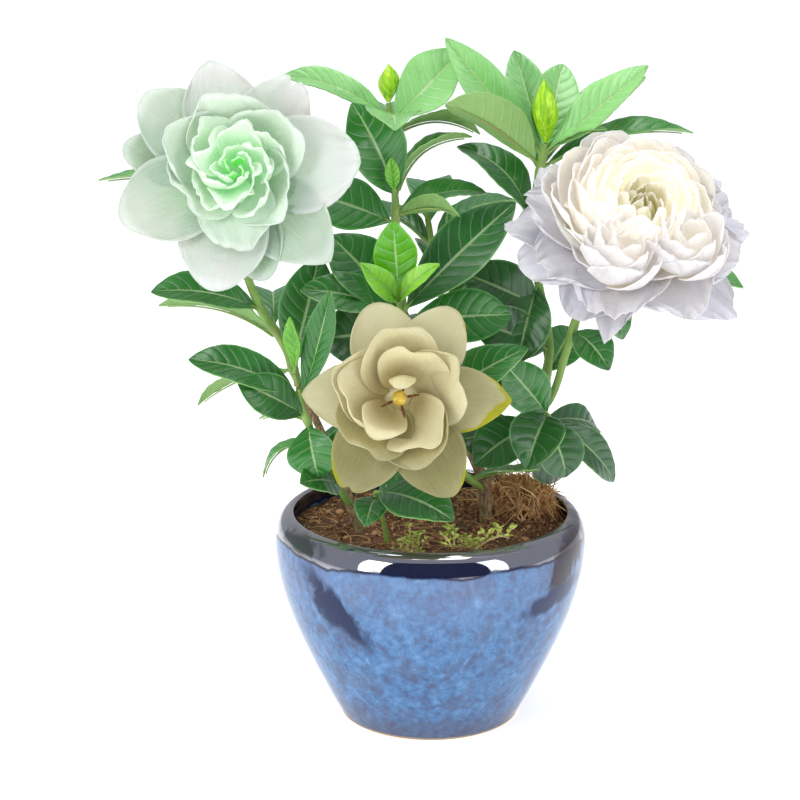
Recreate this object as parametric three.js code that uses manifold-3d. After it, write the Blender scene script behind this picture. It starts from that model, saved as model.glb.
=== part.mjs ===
// A potted gardenia: a glazed bowl pot, potting soil, woody stems, leafy shoots and three double blooms.
// Millimetres, +Z up, origin at the centre of the pot's base. -Y is the front, +X the right.
import * as THREE from "three";
import { mergeVertices } from "three/addons/utils/BufferGeometryUtils.js";
import Module from "manifold-3d";

const wasm = await Module();
wasm.setup();

// Driving dimensions
const GAP = 0.3; // clearance between neighbouring pieces
const POT = {
  baseRadius: 42.5,
  bellyRadius: 72,
  bellyHeight: 84,
  height: 98,
  mouthRadius: 63,
  lipRadius: 1.6,
  wall: 5,
  floor: 6,
  footRound: 1.6,
};
const POT_SIDES = 32;
const SOIL_RIM_HEIGHT = 87; // where the soil meets the pot's wall
const BLADE = 0.8; // thickness of a leaf blade
const PETAL = 0.9; // thickness of a petal
const LEAF_STATIONS = [0, 0.16, 0.42, 0.74, 1];
const SMALL_LEAF_STATIONS = [0, 0.25, 0.68, 1];
const SMALL_LEAF = 42; // length under which a leaf has fewer stations
const STEM_SIDES = 5;
const TRUNK_SIDES = 8;
const SHORT_EDGE = 0.05; // edges under this are closed up after a join

const COLOURS = {
  glaze: 0x2f4f8f,
  soil: 0x4a3524,
  coir: 0x96643a,
  moss: 0xa9b548,
  bark: 0x8a6b48,
  leaf: 0x2c7a35,
  young: 0x86d413,
  palePetal: 0xd3ead6,
  ivoryPetal: 0xf4ecdc,
  creamPetal: 0xd9cba6,
  pistil: 0xc9a52c,
  anther: 0x7a4318,
};

// Directions that a leaf's upper face looks in
const UP = [0, 0, 1];
const FRONT = [0, -1, 0];
const UP_FRONT = [0, -1, 1];
const UP_BACK = [0, 1, 1];
const STEEP_FRONT = [0, -1, 0.4];
const FLAT_FRONT = [0, -0.5, 1];

const v3 = (p) => new THREE.Vector3(...p);
const radians = THREE.MathUtils.degToRad;

// A repeatable stream of numbers from 0 to 1
function seeded(seed) {
  let state = seed;
  return () => {
    state = (state * 1664525 + 1013904223) % 4294967296;
    return state / 4294967296;
  };
}

// Solids
function solidOf(geometry) {
  const plain = new THREE.BufferGeometry();
  plain.setAttribute("position", geometry.getAttribute("position"));
  plain.setIndex(geometry.getIndex());
  const merged = mergeVertices(plain, 1e-4);
  const triVerts = new Uint32Array(merged.index.array);
  const mesh = { numProp: 3, vertProperties: merged.attributes.position.array, triVerts };
  const solid = new wasm.Manifold(new wasm.Mesh(mesh));
  if (solid.volume() > 0) return solid;
  for (let i = 0; i < triVerts.length; i += 3)
    [triVerts[i + 1], triVerts[i + 2]] = [triVerts[i + 2], triVerts[i + 1]];
  return new wasm.Manifold(new wasm.Mesh(mesh));
}

// One body from many: short edges are closed up, and scraps that hold to nothing are dropped.
function fuse(solids) {
  const joined = wasm.Manifold.union(solids).simplify(SHORT_EDGE);
  return joined.decompose().sort((a, b) => b.volume() - a.volume())[0];
}

function meshOf(name, solid, colour, roughness) {
  const { numProp, numVert, vertProperties, triVerts } = solid.getMesh();
  const points = new Float32Array(numVert * 3);
  for (let i = 0; i < numVert; i++)
    points.set(vertProperties.subarray(i * numProp, i * numProp + 3), i * 3);
  const geometry = new THREE.BufferGeometry();
  geometry.setAttribute("position", new THREE.BufferAttribute(points, 3));
  geometry.setIndex(new THREE.BufferAttribute(new Uint32Array(triVerts), 1));
  geometry.computeVertexNormals();
  const finish = new THREE.MeshStandardMaterial({ color: colour, roughness, metalness: 0 });
  const mesh = new THREE.Mesh(geometry, finish);
  mesh.name = name;
  return mesh;
}

function geometryOf(points, faces) {
  const geometry = new THREE.BufferGeometry().setFromPoints(points);
  geometry.setIndex(faces);
  return geometry;
}

// A closed skin over rings of points, each ring a loop, with a flat fan at each end
function loft(rings) {
  const sides = rings[0].length;
  const points = rings.flat();
  const faces = [];
  for (let r = 0; r + 1 < rings.length; r++)
    for (let i = 0; i < sides; i++) {
      const a = r * sides + i;
      const b = r * sides + ((i + 1) % sides);
      faces.push(a, b, b + sides, a, b + sides, a + sides);
    }
  const last = (rings.length - 1) * sides;
  for (let i = 1; i + 1 < sides; i++) {
    faces.push(0, i + 1, i);
    faces.push(last, last + i, last + i + 1);
  }
  return solidOf(geometryOf(points, faces));
}

// A thin closed sheet of even thickness round a grid of points
function sheet(grid, thickness) {
  const rows = grid.length;
  const columns = grid[0].length;
  const clamp = THREE.MathUtils.clamp;
  const at = (r, c) => grid[clamp(r, 0, rows - 1)][clamp(c, 0, columns - 1)];
  const points = [];
  for (const side of [0.5, -0.5])
    for (let r = 0; r < rows; r++)
      for (let c = 0; c < columns; c++) {
        const along = at(r + 1, c).clone().sub(at(r - 1, c));
        const across = at(r, c + 1).clone().sub(at(r, c - 1));
        const normal = across.cross(along).normalize();
        points.push(at(r, c).clone().addScaledVector(normal, side * thickness));
      }
  const faces = [];
  const under = rows * columns;
  for (let r = 0; r + 1 < rows; r++)
    for (let c = 0; c + 1 < columns; c++) {
      const a = r * columns + c;
      const quad = [a, a + 1, a + columns + 1, a, a + columns + 1, a + columns];
      faces.push(...quad);
      faces.push(...quad.map((i) => i + under).reverse());
    }
  const rim = [];
  for (let c = 0; c + 1 < columns; c++) rim.push([c, c + 1]);
  for (let r = 0; r + 1 < rows; r++)
    rim.push([r * columns + columns - 1, (r + 1) * columns + columns - 1]);
  for (let c = columns - 1; c > 0; c--)
    rim.push([(rows - 1) * columns + c, (rows - 1) * columns + c - 1]);
  for (let r = rows - 1; r > 0; r--) rim.push([r * columns, (r - 1) * columns]);
  for (const [a, b] of rim) faces.push(a, a + under, b + under, a, b + under, b);
  return solidOf(geometryOf(points, faces));
}

function stemCurve(points) {
  return new THREE.CatmullRomCurve3(points.map(v3), false, "catmullrom", 0.5);
}

// A tapering round stem along a curve, grown outwards by extra where it serves as a cutter
function stem({ points, radii }, extra = 0, sides = STEM_SIDES) {
  const curve = stemCurve(points);
  const steps = points.length - 1;
  const frames = curve.computeFrenetFrames(steps, false);
  const rings = [];
  for (let i = 0; i <= steps; i++) {
    const centre = curve.getPoint(i / steps);
    const radius = THREE.MathUtils.lerp(radii[0], radii[1], i / steps) + extra;
    const ring = [];
    for (let k = 0; k < sides; k++) {
      const a = (2 * Math.PI * k) / sides;
      const out = frames.normals[i].clone().multiplyScalar(Math.cos(a) * radius);
      out.addScaledVector(frames.binormals[i], Math.sin(a) * radius);
      ring.push(centre.clone().add(out));
    }
    rings.push(ring);
  }
  return loft(rings);
}

// Leaves: [place along the stem, tip, width, arch, face, fold in degrees]
const PETIOLE_HALF_WIDTH = 0.8;
const TIP_HALF_WIDTH = 0.35;
const LEAF_WAVES = 1.5;
const LEAF_WAVE_DEPTH = 0.09; // of the half width

function leafHalfWidth(width, t) {
  const blade = THREE.MathUtils.clamp((t - 0.06) / 0.94, 0, 1);
  const swell = Math.max(Math.sin(Math.PI * blade ** 1.1), 0) ** 0.75;
  const least = THREE.MathUtils.lerp(PETIOLE_HALF_WIDTH, TIP_HALF_WIDTH, t);
  return Math.max((width / 2) * swell, least);
}

function leafPoint(leaf, t, across) {
  const { base, tip, width, arch, face, fold, phase } = leaf;
  const chord = tip.clone().sub(base).normalize();
  const side = chord.clone().cross(face).normalize();
  const facing = side.clone().cross(chord);
  const control = base.clone().lerp(tip, 0.5).addScaledVector(facing, 2 * arch);
  const rib = new THREE.QuadraticBezierCurve3(base, control, tip);
  const tangent = rib.getTangent(t);
  const normal = side.clone().cross(tangent);
  const half = leafHalfWidth(width, t);
  const wave = Math.sin(2 * Math.PI * LEAF_WAVES * t + phase + (across < 0 ? 2 : 0));
  const rise = Math.abs(across) * half * (Math.sin(fold) + LEAF_WAVE_DEPTH * wave);
  return rib
    .getPoint(t)
    .addScaledVector(side, across * half * Math.cos(fold))
    .addScaledVector(normal, rise);
}

function leafSolid(curve, last, [at, tip, width, arch, face, fold], phase) {
  const leaf = {
    base: curve.getPoint(at / last),
    tip: v3(tip),
    width,
    arch,
    face: v3(face),
    fold: radians(fold),
    phase,
  };
  const stations = leaf.base.distanceTo(leaf.tip) < SMALL_LEAF ? SMALL_LEAF_STATIONS : LEAF_STATIONS;
  const grid = stations.map((t) => [-1, 0, 1].map((s) => leafPoint(leaf, t, s)));
  return sheet(grid, BLADE);
}

function leavesOn({ points, leaves }) {
  const curve = stemCurve(points);
  return leaves.map((row, i) => leafSolid(curve, points.length - 1, row, 1.9 * i));
}

// Woody stems, each with its arms
const TRUNK_RIGHT = [
  { points: [[25, 0, 52], [26, 1, 75], [26, 1, 92], [25, 2, 112]], radii: [3.6, 2.9] },
  { points: [[25, 2, 110], [17, 10, 126], [5, 14, 148], [-6, 12, 172], [-12, 8, 188]], radii: [2.6, 1.9] },
  { points: [[25, 2, 110], [33, 8, 120], [44, 12, 133], [51, 13, 144]], radii: [2.6, 2] },
];
const TRUNK_LEFT = [
  { points: [[-30, -10, 52], [-31, -11, 75], [-33, -12, 92], [-37, -14, 104]], radii: [2.6, 2] },
  { points: [[-33, -12, 92], [-40, -6, 112], [-50, -2, 135], [-60, -4, 158]], radii: [2, 1.7] },
];

// Green shoots: a stem and the leaves that stand on it
const SHOOTS = {
  shoot_crown_left: {
    points: [[-12, 8, 188.4], [-14, 5, 205], [-16, 1, 222], [-16, 0, 240], [-18, 7, 262], [-19, 13, 283]],
    radii: [1.7, 1.1],
    leaves: [
      [4.7, [-66, 14, 295], 17, 5, [0, -1, 1.5], 20],
      [3.1, [-35, -6, 285], 27, 6, [0.3, -1, 0.3], 10],
      [4.2, [-16, -36, 277], 25, 9, [0, 0.4, 1], 14],
      [4.6, [13, 10, 307], 27, -3, [-0.3, -1, 0.2], 24],
      [4.3, [22, 22, 268], 18, 7, [0, 0.3, 1], 20],
      [4.1, [-22, 56, 276], 21, 8, UP, 18],
      [3.1, [18, 12, 268], 18, 9, [-0.6, 0, 1], 22],
      [2.7, [12, -17, 237], 16, 5, UP_BACK, 14],
      [2.8, [25, 16, 242], 17, 5, FLAT_FRONT, 18],
      [2.5, [-50, 16, 240], 25, 6, STEEP_FRONT, 14],
    ],
  },
  shoot_centre: {
    points: [[-6, 12, 172], [-10, 0, 182], [-13, -12, 190], [-14, -20, 195]],
    radii: [1.6, 1.2],
    leaves: [
      [2.6, [37, -4, 241], 27, 4, [-0.2, -1, 0.5], 16],
      [2.2, [-45, -3, 226], 28, 4, [0.2, -1, 0.5], 15],
      [2.5, [-58, -16, 204], 21, 5, [0.1, -0.8, 0.8], 18],
      [1.6, [36, -4, 190], 25, 6, STEEP_FRONT, 14],
      [0.8, [-50, 0, 178], 30, 5, STEEP_FRONT, 14],
    ],
  },
  shoot_crown_right: {
    points: [[51, 13, 144.4], [55, 16, 172], [49, 20, 203], [45, 18, 228], [48, 11, 250], [51, 6, 266]],
    radii: [1.9, 1.2],
    leaves: [
      [4.6, [6, 6, 312], 20, -2, [-0.5, -0.8, 0.8], 22],
      [4.6, [38, 36, 304], 19, 3, STEEP_FRONT, 20],
      [4.7, [60, 36, 298], 22, 2, [0, -1, 0.3], 12],
      [4.5, [98, 38, 292], 20, 6, FLAT_FRONT, 15],
      [4.7, [94, -4, 301], 20, -1, [-0.3, -0.9, 0.7], 24],
      [4.3, [6, -18, 286], 28, 5, [-0.3, 0.5, 1], 28],
      [4.2, [119, 26, 268], 20, 8, [0, -0.2, 1], 20],
      [4.6, [77, -2, 273], 11, 4, [0, -0.3, 1], 20],
      [0.5, [66, 32, 176], 20, 3, [0, -1, 0.2], 10],
      [3, [12, 24, 262], 22, 10, [0.5, -0.6, 0.6], 14],
      [4, [58, 62, 262], 22, 8, UP, 18],
      [3.4, [92, 50, 240], 22, 8, UP, 18],
      [1.5, [14, 14, 206], 26, 4, STEEP_FRONT, 14],
      [0.9, [18, 4, 186], 25, 4, STEEP_FRONT, 12],
      [0.4, [14, 8, 158], 24, 4, STEEP_FRONT, 12],
      [1.9, [40, 4, 166], 24, 4, [-0.2, -1, 0.4], 14],
    ],
  },
  shoot_bloom_right: {
    points: [[44, 12, 133], [56, 7, 150], [63, 6, 175], [71, 5, 200], [81, -4, 212], [84.4, -17.7, 221.3]],
    radii: [1.7, 2.2],
    leaves: [
      [2.2, [80, -10, 166], 18, 5, UP_FRONT, 12],
      [3, [87, 0, 178], 20, 5, FLAT_FRONT, 15],
      [4, [140, -2, 202], 22, 6, FLAT_FRONT, 18],
    ],
  },
  shoot_low_right: {
    points: [[40, 11, 129], [48, 4, 136], [54, 0, 142]],
    radii: [1.6, 1.3],
    leaves: [
      [2, [43, -24, 124], 27, 7, [-0.2, -1, 0.5], 22],
      [1.8, [86, 12, 107], 18, 6, [0.3, -1, 0.8], 12],
      [1.5, [62, -4, 114], 24, 6, [0.2, -1, 0.7], 12],
      [1.3, [80, 32, 126], 17, 6, UP_FRONT, 12],
      [1.2, [20, -8, 121], 25, 6, [-0.3, -1, 0.6], 15],
      [2, [32, -10, 170], 22, 3, STEEP_FRONT, 12],
      [0.5, [62, 16, 108], 23, 5, STEEP_FRONT, 12],
      [0.4, [12, 2, 130], 23, 5, STEEP_FRONT, 12],
    ],
  },
  shoot_front: {
    points: [[25, 2, 106], [16, -8, 116], [5, -18, 132], [-7, -26, 148], [-13.9, -40.8, 161]],
    radii: [1.6, 2.2],
    leaves: [
      [3, [42, -30, 181], 22, 5, [-0.1, -0.9, 0.8], 15],
      [1.9, [-12, -4, 118], 14, 3, UP, 12],
      [0.8, [49, -16, 121], 12, 2, UP, 10],
    ],
  },
  sprout_front: {
    points: [[-18, -25, 62], [-20, -27, 92], [-23, -31, 107], [-25, -34, 116]],
    radii: [1.3, 1],
    leaves: [
      [3, [9, -62, 112], 25, 5, [-0.2, -0.5, 1], 10],
      [2.6, [-29, -52, 106], 15, 4, FLAT_FRONT, 10],
      [2.8, [-4, -34, 122], 14, 3, FLAT_FRONT, 12],
    ],
  },
  shoot_left: {
    points: [[-37.4, -14.2, 104.6], [-42, -18, 114], [-49, -22, 130], [-56, -26, 149], [-59, -27, 162]],
    radii: [1.7, 1.2],
    leaves: [
      [3.7, [-107, -27, 175], 20, 7, UP_FRONT, 20],
      [3, [-85, -38, 168], 20, 3, [-0.2, -0.9, 0.6], 14],
      [3.5, [-44, -37, 208], 14, -3, [-0.3, -1, 0], 14],
      [2.9, [-77, -20, 146], 9, 3, UP, 15],
      [2.4, [-76, -14, 117], 9, 6, [-0.3, -0.3, 1], 15],
      [2.8, [-50, -31, 122], 23, 4, [-0.2, -1, 0.5], 12],
      [1, [-58, -40, 122], 20, 3, [0, -0.8, 0.8], 10],
      [1.6, [-30, -30, 148], 16, 2, STEEP_FRONT, 12],
    ],
  },
  shoot_bloom_left: {
    points: [
      [-60, -4, 158.4], [-67, -5, 178], [-76, -5, 192],
      [-84, 1, 212], [-88, 0, 240], [-84.4, -14.2, 253.3],
    ],
    radii: [1.7, 2.2],
    leaves: [
      [2, [-124, -16, 203], 21, 6, [0, -0.7, 0.9], 18],
      [1, [-123, 2, 193], 22, 7, [0, 0.6, 1], 15],
      [0.3, [-107, 8, 145], 16, 5, [0, 0.3, 1], 18],
      [0.4, [-50, -4, 217], 26, 3, [0.1, -1, 0.3], 12],
      [4.4, [-146, -12, 252], 15, 4, UP, 16],
      [3.2, [-122, 8, 228], 16, 5, UP, 16],
      [3.6, [-92, 46, 236], 22, 8, UP, 18],
      [1.4, [-74, 38, 190], 22, 8, UP, 18],
    ],
  },
  shoot_back: {
    points: [[5, 14, 148], [7, 24, 164], [6, 33, 185], [2, 37, 208], [-2, 38, 232]],
    radii: [1.8, 1.2],
    leaves: [
      [2, [46, 52, 196], 23, 8, UP, 18],
      [2.6, [4, 84, 204], 23, 8, UP, 18],
      [3.2, [42, 52, 232], 23, 8, UP, 18],
      [3.2, [-40, 58, 226], 23, 8, UP, 18],
      [3.6, [0, 84, 236], 23, 8, UP, 18],
      [1.1, [-30, 62, 166], 22, 8, UP, 18],
    ],
  },
  sprout_back: {
    points: [[-6, 28, 62], [-6, 29, 92], [-10, 33, 115], [-12, 36, 134]],
    radii: [1.8, 1.2],
    leaves: [
      [3, [-56, 46, 142], 22, 7, UP, 18],
      [3, [34, 58, 140], 22, 7, UP, 18],
      [2.6, [-12, 82, 134], 22, 7, UP, 18],
      [2.2, [-52, 28, 122], 20, 6, UP, 18],
      [2.2, [28, 52, 116], 20, 6, UP, 18],
    ],
  },
};

// Lime green leaves that have just opened, each tuft on its own short stem
const YOUNG = {
  young_leaves_centre: {
    points: [[-14.2, -20.8, 195.6], [-14.4, -22.6, 198], [-14.5, -23.4, 201]],
    radii: [1.2, 0.9],
    leaves: [
      [2, [-17, -34, 238], 20, -3, FRONT, 16],
      [1.4, [-31, -42, 221], 12, 2, [0.4, -1, 0.2], 26],
      [1.4, [3, -34, 219], 10, 4, [-0.6, -1, 0.6], 24],
    ],
  },
  young_leaf_left: {
    points: [[-59.6, -27.6, 163.4], [-60, -28.4, 166.4], [-60.5, -29, 169]],
    radii: [1.2, 0.9],
    leaves: [[2, [-62, -31, 195], 10, -2, [-0.8, -1, 0], 24]],
  },
  young_leaf_crown: {
    points: [[-16, -1.8, 239], [-16.3, -5.4, 241.5], [-16.6, -8.4, 247]],
    radii: [1, 0.8],
    leaves: [
      [2, [-18, -12, 262], 7, 1, FRONT, 22],
    ],
  },
};

// Rolled leaf buds: fluted spindles
const BUDS = {
  bud_crown_left: { base: [-19, 13, 283.4], tip: [-19, 15, 300], radius: 4.6, flutes: 3 },
  bud_crown_right: { base: [51.1, 5.6, 266.6], tip: [49, -1, 295], radius: 5.4, flutes: 4 },
};
const BUD_RINGS = 6;
const BUD_SIDES = 8;
const BUD_TWIST = 1.2;

function budSolid({ base, tip, radius, flutes }) {
  const from = v3(base);
  const axis = v3(tip).sub(from);
  const turn = new THREE.Quaternion().setFromUnitVectors(v3(UP), axis.clone().normalize());
  const rings = [];
  for (let i = 0; i <= BUD_RINGS; i++) {
    const t = i / BUD_RINGS;
    const swell = Math.max(radius * Math.sin(Math.PI * (0.1 + 0.9 * t) ** 1.25), 0.35);
    const ring = [];
    for (let k = 0; k < BUD_SIDES; k++) {
      const a = (2 * Math.PI * k) / BUD_SIDES;
      const r = swell * (1 + 0.14 * Math.cos(flutes * (a + BUD_TWIST * t)));
      const out = new THREE.Vector3(Math.cos(a) * r, Math.sin(a) * r, 0);
      ring.push(from.clone().addScaledVector(axis, t).add(out.applyQuaternion(turn)));
    }
    rings.push(ring);
  }
  return loft(rings);
}

// Blooms. Each whorl lies on one bell. Its petals are given as rows of azimuth, length, width and
// height of the foot, or as a count of equal ones. The whorl has the angles from the axis at a
// petal's foot and rim (openOf for a single petal), how far a petal's sides lift apart, ruffle and
// its waves, and the radius on which the petals stand.
const BLOOMS = {
  bloom_left: {
    foot: [-84.4, -19.8, 255.3],
    axis: [0, -0.94, 0.34],
    colour: COLOURS.palePetal,
    seed: 11,
    core: 10,
    whorls: [
      {
        rows: [
          [5, 50, 46, 3.4], [56, 44, 34, 1.8], [103, 43.5, 36, 3], [141, 48, 36, 1.6], [168, 46, 27, 0.4],
          [205, 50, 41, 3.4], [260, 49, 42, 3], [285, 45, 27, 0.4], [316, 50.5, 37, 1.8],
        ],
        open: [70, 86],
        lift: 2.2, ruffle: 1.2, waves: 7, radius: 5,
      },
      {
        rows: [
          [100, 36, 46, 5.5], [45, 34, 42, 5.5], [155, 35, 44, 5.5], [208, 32, 42, 5.5],
          [330, 32, 42, 5.5], [274, 33, 38, 8],
        ],
        open: [82, 12],
        openOf: { 5: [66, 78] },
        lift: 2.6, ruffle: 1.2, waves: 7, radius: 5,
      },
      {
        count: 4, turn: 50, length: 27, width: 30,
        open: [74, -2],
        lift: 2.2, ruffle: 1, waves: 7, radius: 5, height: 6.5,
      },
    ],
  },
  bloom_right: {
    foot: [85, -22, 225.5],
    axis: [0.098, -0.711, 0.696],
    colour: COLOURS.ivoryPetal,
    seed: 29,
    core: 11,
    whorls: [
      {
        rows: [
          [8, 51, 38, 2], [29, 50, 34, 3.5], [345, 45, 36, 3], [316, 50, 36, 2],
          [251, 45, 22, 1], [231, 44, 34, 2.4], [193, 47, 38, 3], [168, 50, 34, 1.6], [133, 47, 32, 3],
        ],
        open: [72, 108],
        lift: 2.2, ruffle: 2, waves: 8, radius: 5,
      },
      {
        rows: [
          [207, 45, 46, 5], [250, 46, 46, 6], [293, 46, 48, 5], [336, 44, 46, 6], [165, 45, 44, 6],
          [18, 42, 40, 5],
        ],
        open: [70, 84],
        lift: 2.6, ruffle: 2, waves: 7, radius: 5,
      },
      {
        rows: [
          [8, 38, 46, 6], [60, 40, 46, 7], [112, 44, 48, 6], [170, 48, 50, 7], [235, 42, 50, 6],
          [300, 38, 50, 7],
        ],
        open: [74, 40],
        lift: 2.8, ruffle: 1.8, waves: 8, radius: 5,
      },
      {
        count: 4, turn: 30, length: 39, width: 36,
        open: [70, 0],
        lift: 2.8, ruffle: 1.4, waves: 7, radius: 4.5, height: 8,
      },
    ],
  },
  bloom_front: {
    foot: [-14, -45.6, 162.3],
    axis: [-0.01, -0.965, 0.26],
    colour: COLOURS.creamPetal,
    seed: 5,
    core: 9,
    whorls: [
      {
        rows: [
          [359, 43, 30, 2.4], [58, 41, 31, 1.2], [105, 38.5, 33, 2.4], [178, 37.5, 31, 2],
          [239, 42, 33, 1.2], [299, 43, 33, 2.4],
        ],
        open: [68, 86],
        lift: 1.8, ruffle: 0.8, waves: 5, radius: 5,
      },
      {
        rows: [[22, 32, 38, 5], [98, 33, 40, 5.5], [160, 32, 38, 5], [232, 32, 38, 5.5], [300, 32, 38, 5]],
        open: [80, 19],
        lift: 2.6, ruffle: 0.8, waves: 6, radius: 5,
      },
      {
        count: 3, turn: 62, length: 28, width: 36,
        open: [78, 8],
        lift: 2.2, ruffle: 0.6, waves: 6, radius: 5, height: 6.5,
      },
    ],
  },
};
const PETAL_STATIONS = [0, 0.55, 1];
const PETAL_ACROSS = [-1, 0, 1];
const PETAL_STEPS = 24; // small steps that add up to a petal's middle line
const PETAL_WIDEST = 0.66;
const PETAL_END_WIDTH = 0.62; // share of the width left at the rounded end
const PETAL_END_ROUND = 0.13; // how far the end's corners stay back
const PETAL_CLAW = 1.2; // half width where a petal springs from the receptacle
const RECEPTACLE_HEIGHT = 9;

// Turns a bloom's own frame, +Z along its axis, to face the way it does
function bloomFrame({ foot, axis }) {
  const z = v3(axis).normalize();
  const x = v3(UP).cross(z).normalize();
  const y = z.clone().cross(x);
  return new THREE.Matrix4().makeBasis(x, y, z).setPosition(v3(foot));
}

function petalHalfWidth(width, t) {
  const off = (t - PETAL_WIDEST) / PETAL_WIDEST;
  if (off < 0) return Math.max((width / 2) * Math.sqrt(1 - off * off), PETAL_CLAW);
  const past = (t - PETAL_WIDEST) / (1 - PETAL_WIDEST);
  return (width / 2) * (1 - (1 - PETAL_END_WIDTH) * past * past);
}

function petalPoint(petal, station, across) {
  const t = station * (1 - PETAL_END_ROUND * across * across * station);
  let out = petal.radius;
  let up = petal.height;
  for (let i = 0; i < PETAL_STEPS; i++) {
    const share = THREE.MathUtils.clamp(t * PETAL_STEPS - i, 0, 1);
    const angle = THREE.MathUtils.lerp(...petal.open, (i + share / 2) / PETAL_STEPS);
    out += (Math.sin(angle) * petal.length * share) / PETAL_STEPS;
    up += (Math.cos(angle) * petal.length * share) / PETAL_STEPS;
  }
  const slope = THREE.MathUtils.lerp(...petal.open, t);
  const azimuth = petal.azimuth + (across * petalHalfWidth(petal.width, station)) / out;
  const ruffle = petal.ruffle * t * t * Math.sin(petal.waves * azimuth + petal.phase);
  const raised = petal.lift * across + ruffle;
  const reach = out - Math.cos(slope) * raised;
  const height = up + Math.sin(slope) * raised;
  return new THREE.Vector3(Math.cos(azimuth) * reach, Math.sin(azimuth) * reach, height);
}

function petalsOf(bloom) {
  const draw = seeded(bloom.seed);
  const petals = [];
  for (const whorl of bloom.whorls) {
    const loose = whorl.rows ? 0 : 1;
    const evenly = (_, i) => [whorl.turn + (360 * i) / whorl.count, whorl.length, whorl.width, whorl.height];
    const rows = whorl.rows ?? Array.from({ length: whorl.count }, evenly);
    const phase = 6.28 * draw();
    rows.forEach(([azimuth, length, width, height], i) => {
      petals.push({
        ...whorl,
        azimuth: radians(azimuth + loose * 8 * (draw() - 0.5)),
        length: length * (1 + loose * 0.12 * (draw() - 0.5)),
        width: width * (1 + loose * 0.12 * (draw() - 0.5)),
        height,
        open: (whorl.openOf?.[i] ?? whorl.open).map(radians),
        phase,
      });
    });
  }
  return petals;
}

function bloomSolid(bloom) {
  const turned = bloomFrame(bloom);
  const points = [new THREE.Vector2(0, 0), new THREE.Vector2(bloom.core * 0.9, 0)];
  for (const [r, z] of [[1, 0.35], [0.85, 0.75], [0.45, 1]])
    points.push(new THREE.Vector2(bloom.core * r, RECEPTACLE_HEIGHT * z));
  points.push(new THREE.Vector2(0, RECEPTACLE_HEIGHT));
  const receptacle = new THREE.LatheGeometry(points, 8).rotateX(Math.PI / 2).applyMatrix4(turned);
  const solids = petalsOf(bloom).map((petal) => {
    const point = (t, s) => petalPoint(petal, t, s).applyMatrix4(turned);
    return sheet(PETAL_STATIONS.map((t) => PETAL_ACROSS.map((s) => point(t, s))), PETAL);
  });
  return fuse([solidOf(receptacle), ...solids]);
}

// The green cup and narrow sepals under a bloom
const CALYX = { length: 9, top: 5.2, foot: 2.4, sepals: 4, sepalLength: 12, sepalWidth: 3.6 };

function calyxSolids(bloom) {
  const turned = bloomFrame(bloom);
  const cup = new THREE.CylinderGeometry(CALYX.top, CALYX.foot, CALYX.length, 8);
  cup.rotateX(Math.PI / 2).translate(0, 0, -CALYX.length / 2 - GAP).applyMatrix4(turned);
  const solids = [solidOf(cup)];
  for (let i = 0; i < CALYX.sepals; i++) {
    const turn = (2 * Math.PI * i) / CALYX.sepals + 0.4;
    const grid = [0, 0.5, 1].map((t) =>
      [-1, 1].map((s) => {
        const reach = CALYX.top - 1.6 + t * CALYX.sepalLength;
        const half = (CALYX.sepalWidth / 2) * (1 - 0.7 * t);
        const point = new THREE.Vector3(reach, s * half, -2.2 - 2.4 * t * t);
        return point.applyAxisAngle(v3(UP), turn).applyMatrix4(turned);
      }),
    );
    solids.push(sheet(grid, BLADE));
  }
  return solids;
}

// The pot's outline, from the axis at its foot round to the axis at its inner floor
function potOutline() {
  const { baseRadius, bellyRadius, bellyHeight, height, mouthRadius } = POT;
  const { lipRadius, wall, floor, footRound } = POT;
  const outer = new THREE.CubicBezierCurve(
    new THREE.Vector2(baseRadius, footRound),
    new THREE.Vector2(baseRadius + 13, 27),
    new THREE.Vector2(bellyRadius, bellyHeight - 27),
    new THREE.Vector2(bellyRadius, bellyHeight),
  );
  const lip = new THREE.Vector2(mouthRadius + lipRadius, height - lipRadius);
  const shoulder = new THREE.QuadraticBezierCurve(
    new THREE.Vector2(bellyRadius, bellyHeight),
    new THREE.Vector2(bellyRadius, height - 2.5),
    new THREE.Vector2(lip.x + 0.6, height - 0.2),
  );
  const inner = new THREE.CubicBezierCurve(
    new THREE.Vector2(mouthRadius + 0.4, height - lipRadius - 1.5),
    new THREE.Vector2(bellyRadius - wall + 2, bellyHeight + 2),
    new THREE.Vector2(bellyRadius - wall, bellyHeight - 30),
    new THREE.Vector2(baseRadius - wall + 3, floor),
  );
  return [
    new THREE.Vector2(0, 0),
    new THREE.Vector2(baseRadius - footRound, 0),
    ...outer.getPoints(5),
    ...shoulder.getPoints(4).slice(1),
    new THREE.Vector2(lip.x - 0.6, height),
    new THREE.Vector2(mouthRadius, height - lipRadius),
    ...inner.getPoints(3),
    new THREE.Vector2(0, floor),
  ];
}

// Where the inner wall stands at a height, read off the outline's upper side
function innerRadiusAt(height) {
  const outline = potOutline();
  const top = outline.findIndex((p) => p.y === POT.height);
  for (let i = top; i + 1 < outline.length; i++) {
    const [a, b] = [outline[i], outline[i + 1]];
    if (a.y >= height && b.y <= height)
      return THREE.MathUtils.mapLinear(height, a.y, b.y, a.x, b.x);
  }
  return 0;
}

// Height of the soil's surface: crumbs all over, and a mound at the right where the coir lies
const COIR = { x: 42.5, y: 13, radius: 14.5, rise: 12 };
function soilHeight(x, y) {
  const mound = Math.exp(-((x - COIR.x) ** 2 + (y - COIR.y) ** 2) / 500);
  const middle = Math.max(1 - Math.hypot(x, y) / innerRadiusAt(SOIL_RIM_HEIGHT), 0);
  const crumbs = Math.sin(x * 0.55) * Math.cos(y * 0.5) + Math.sin(x * 0.23 + y * 0.31);
  return SOIL_RIM_HEIGHT + 4 * Math.sqrt(middle) + 5 * mound + 0.8 * crumbs * Math.min(1, 6 * middle);
}

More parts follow.
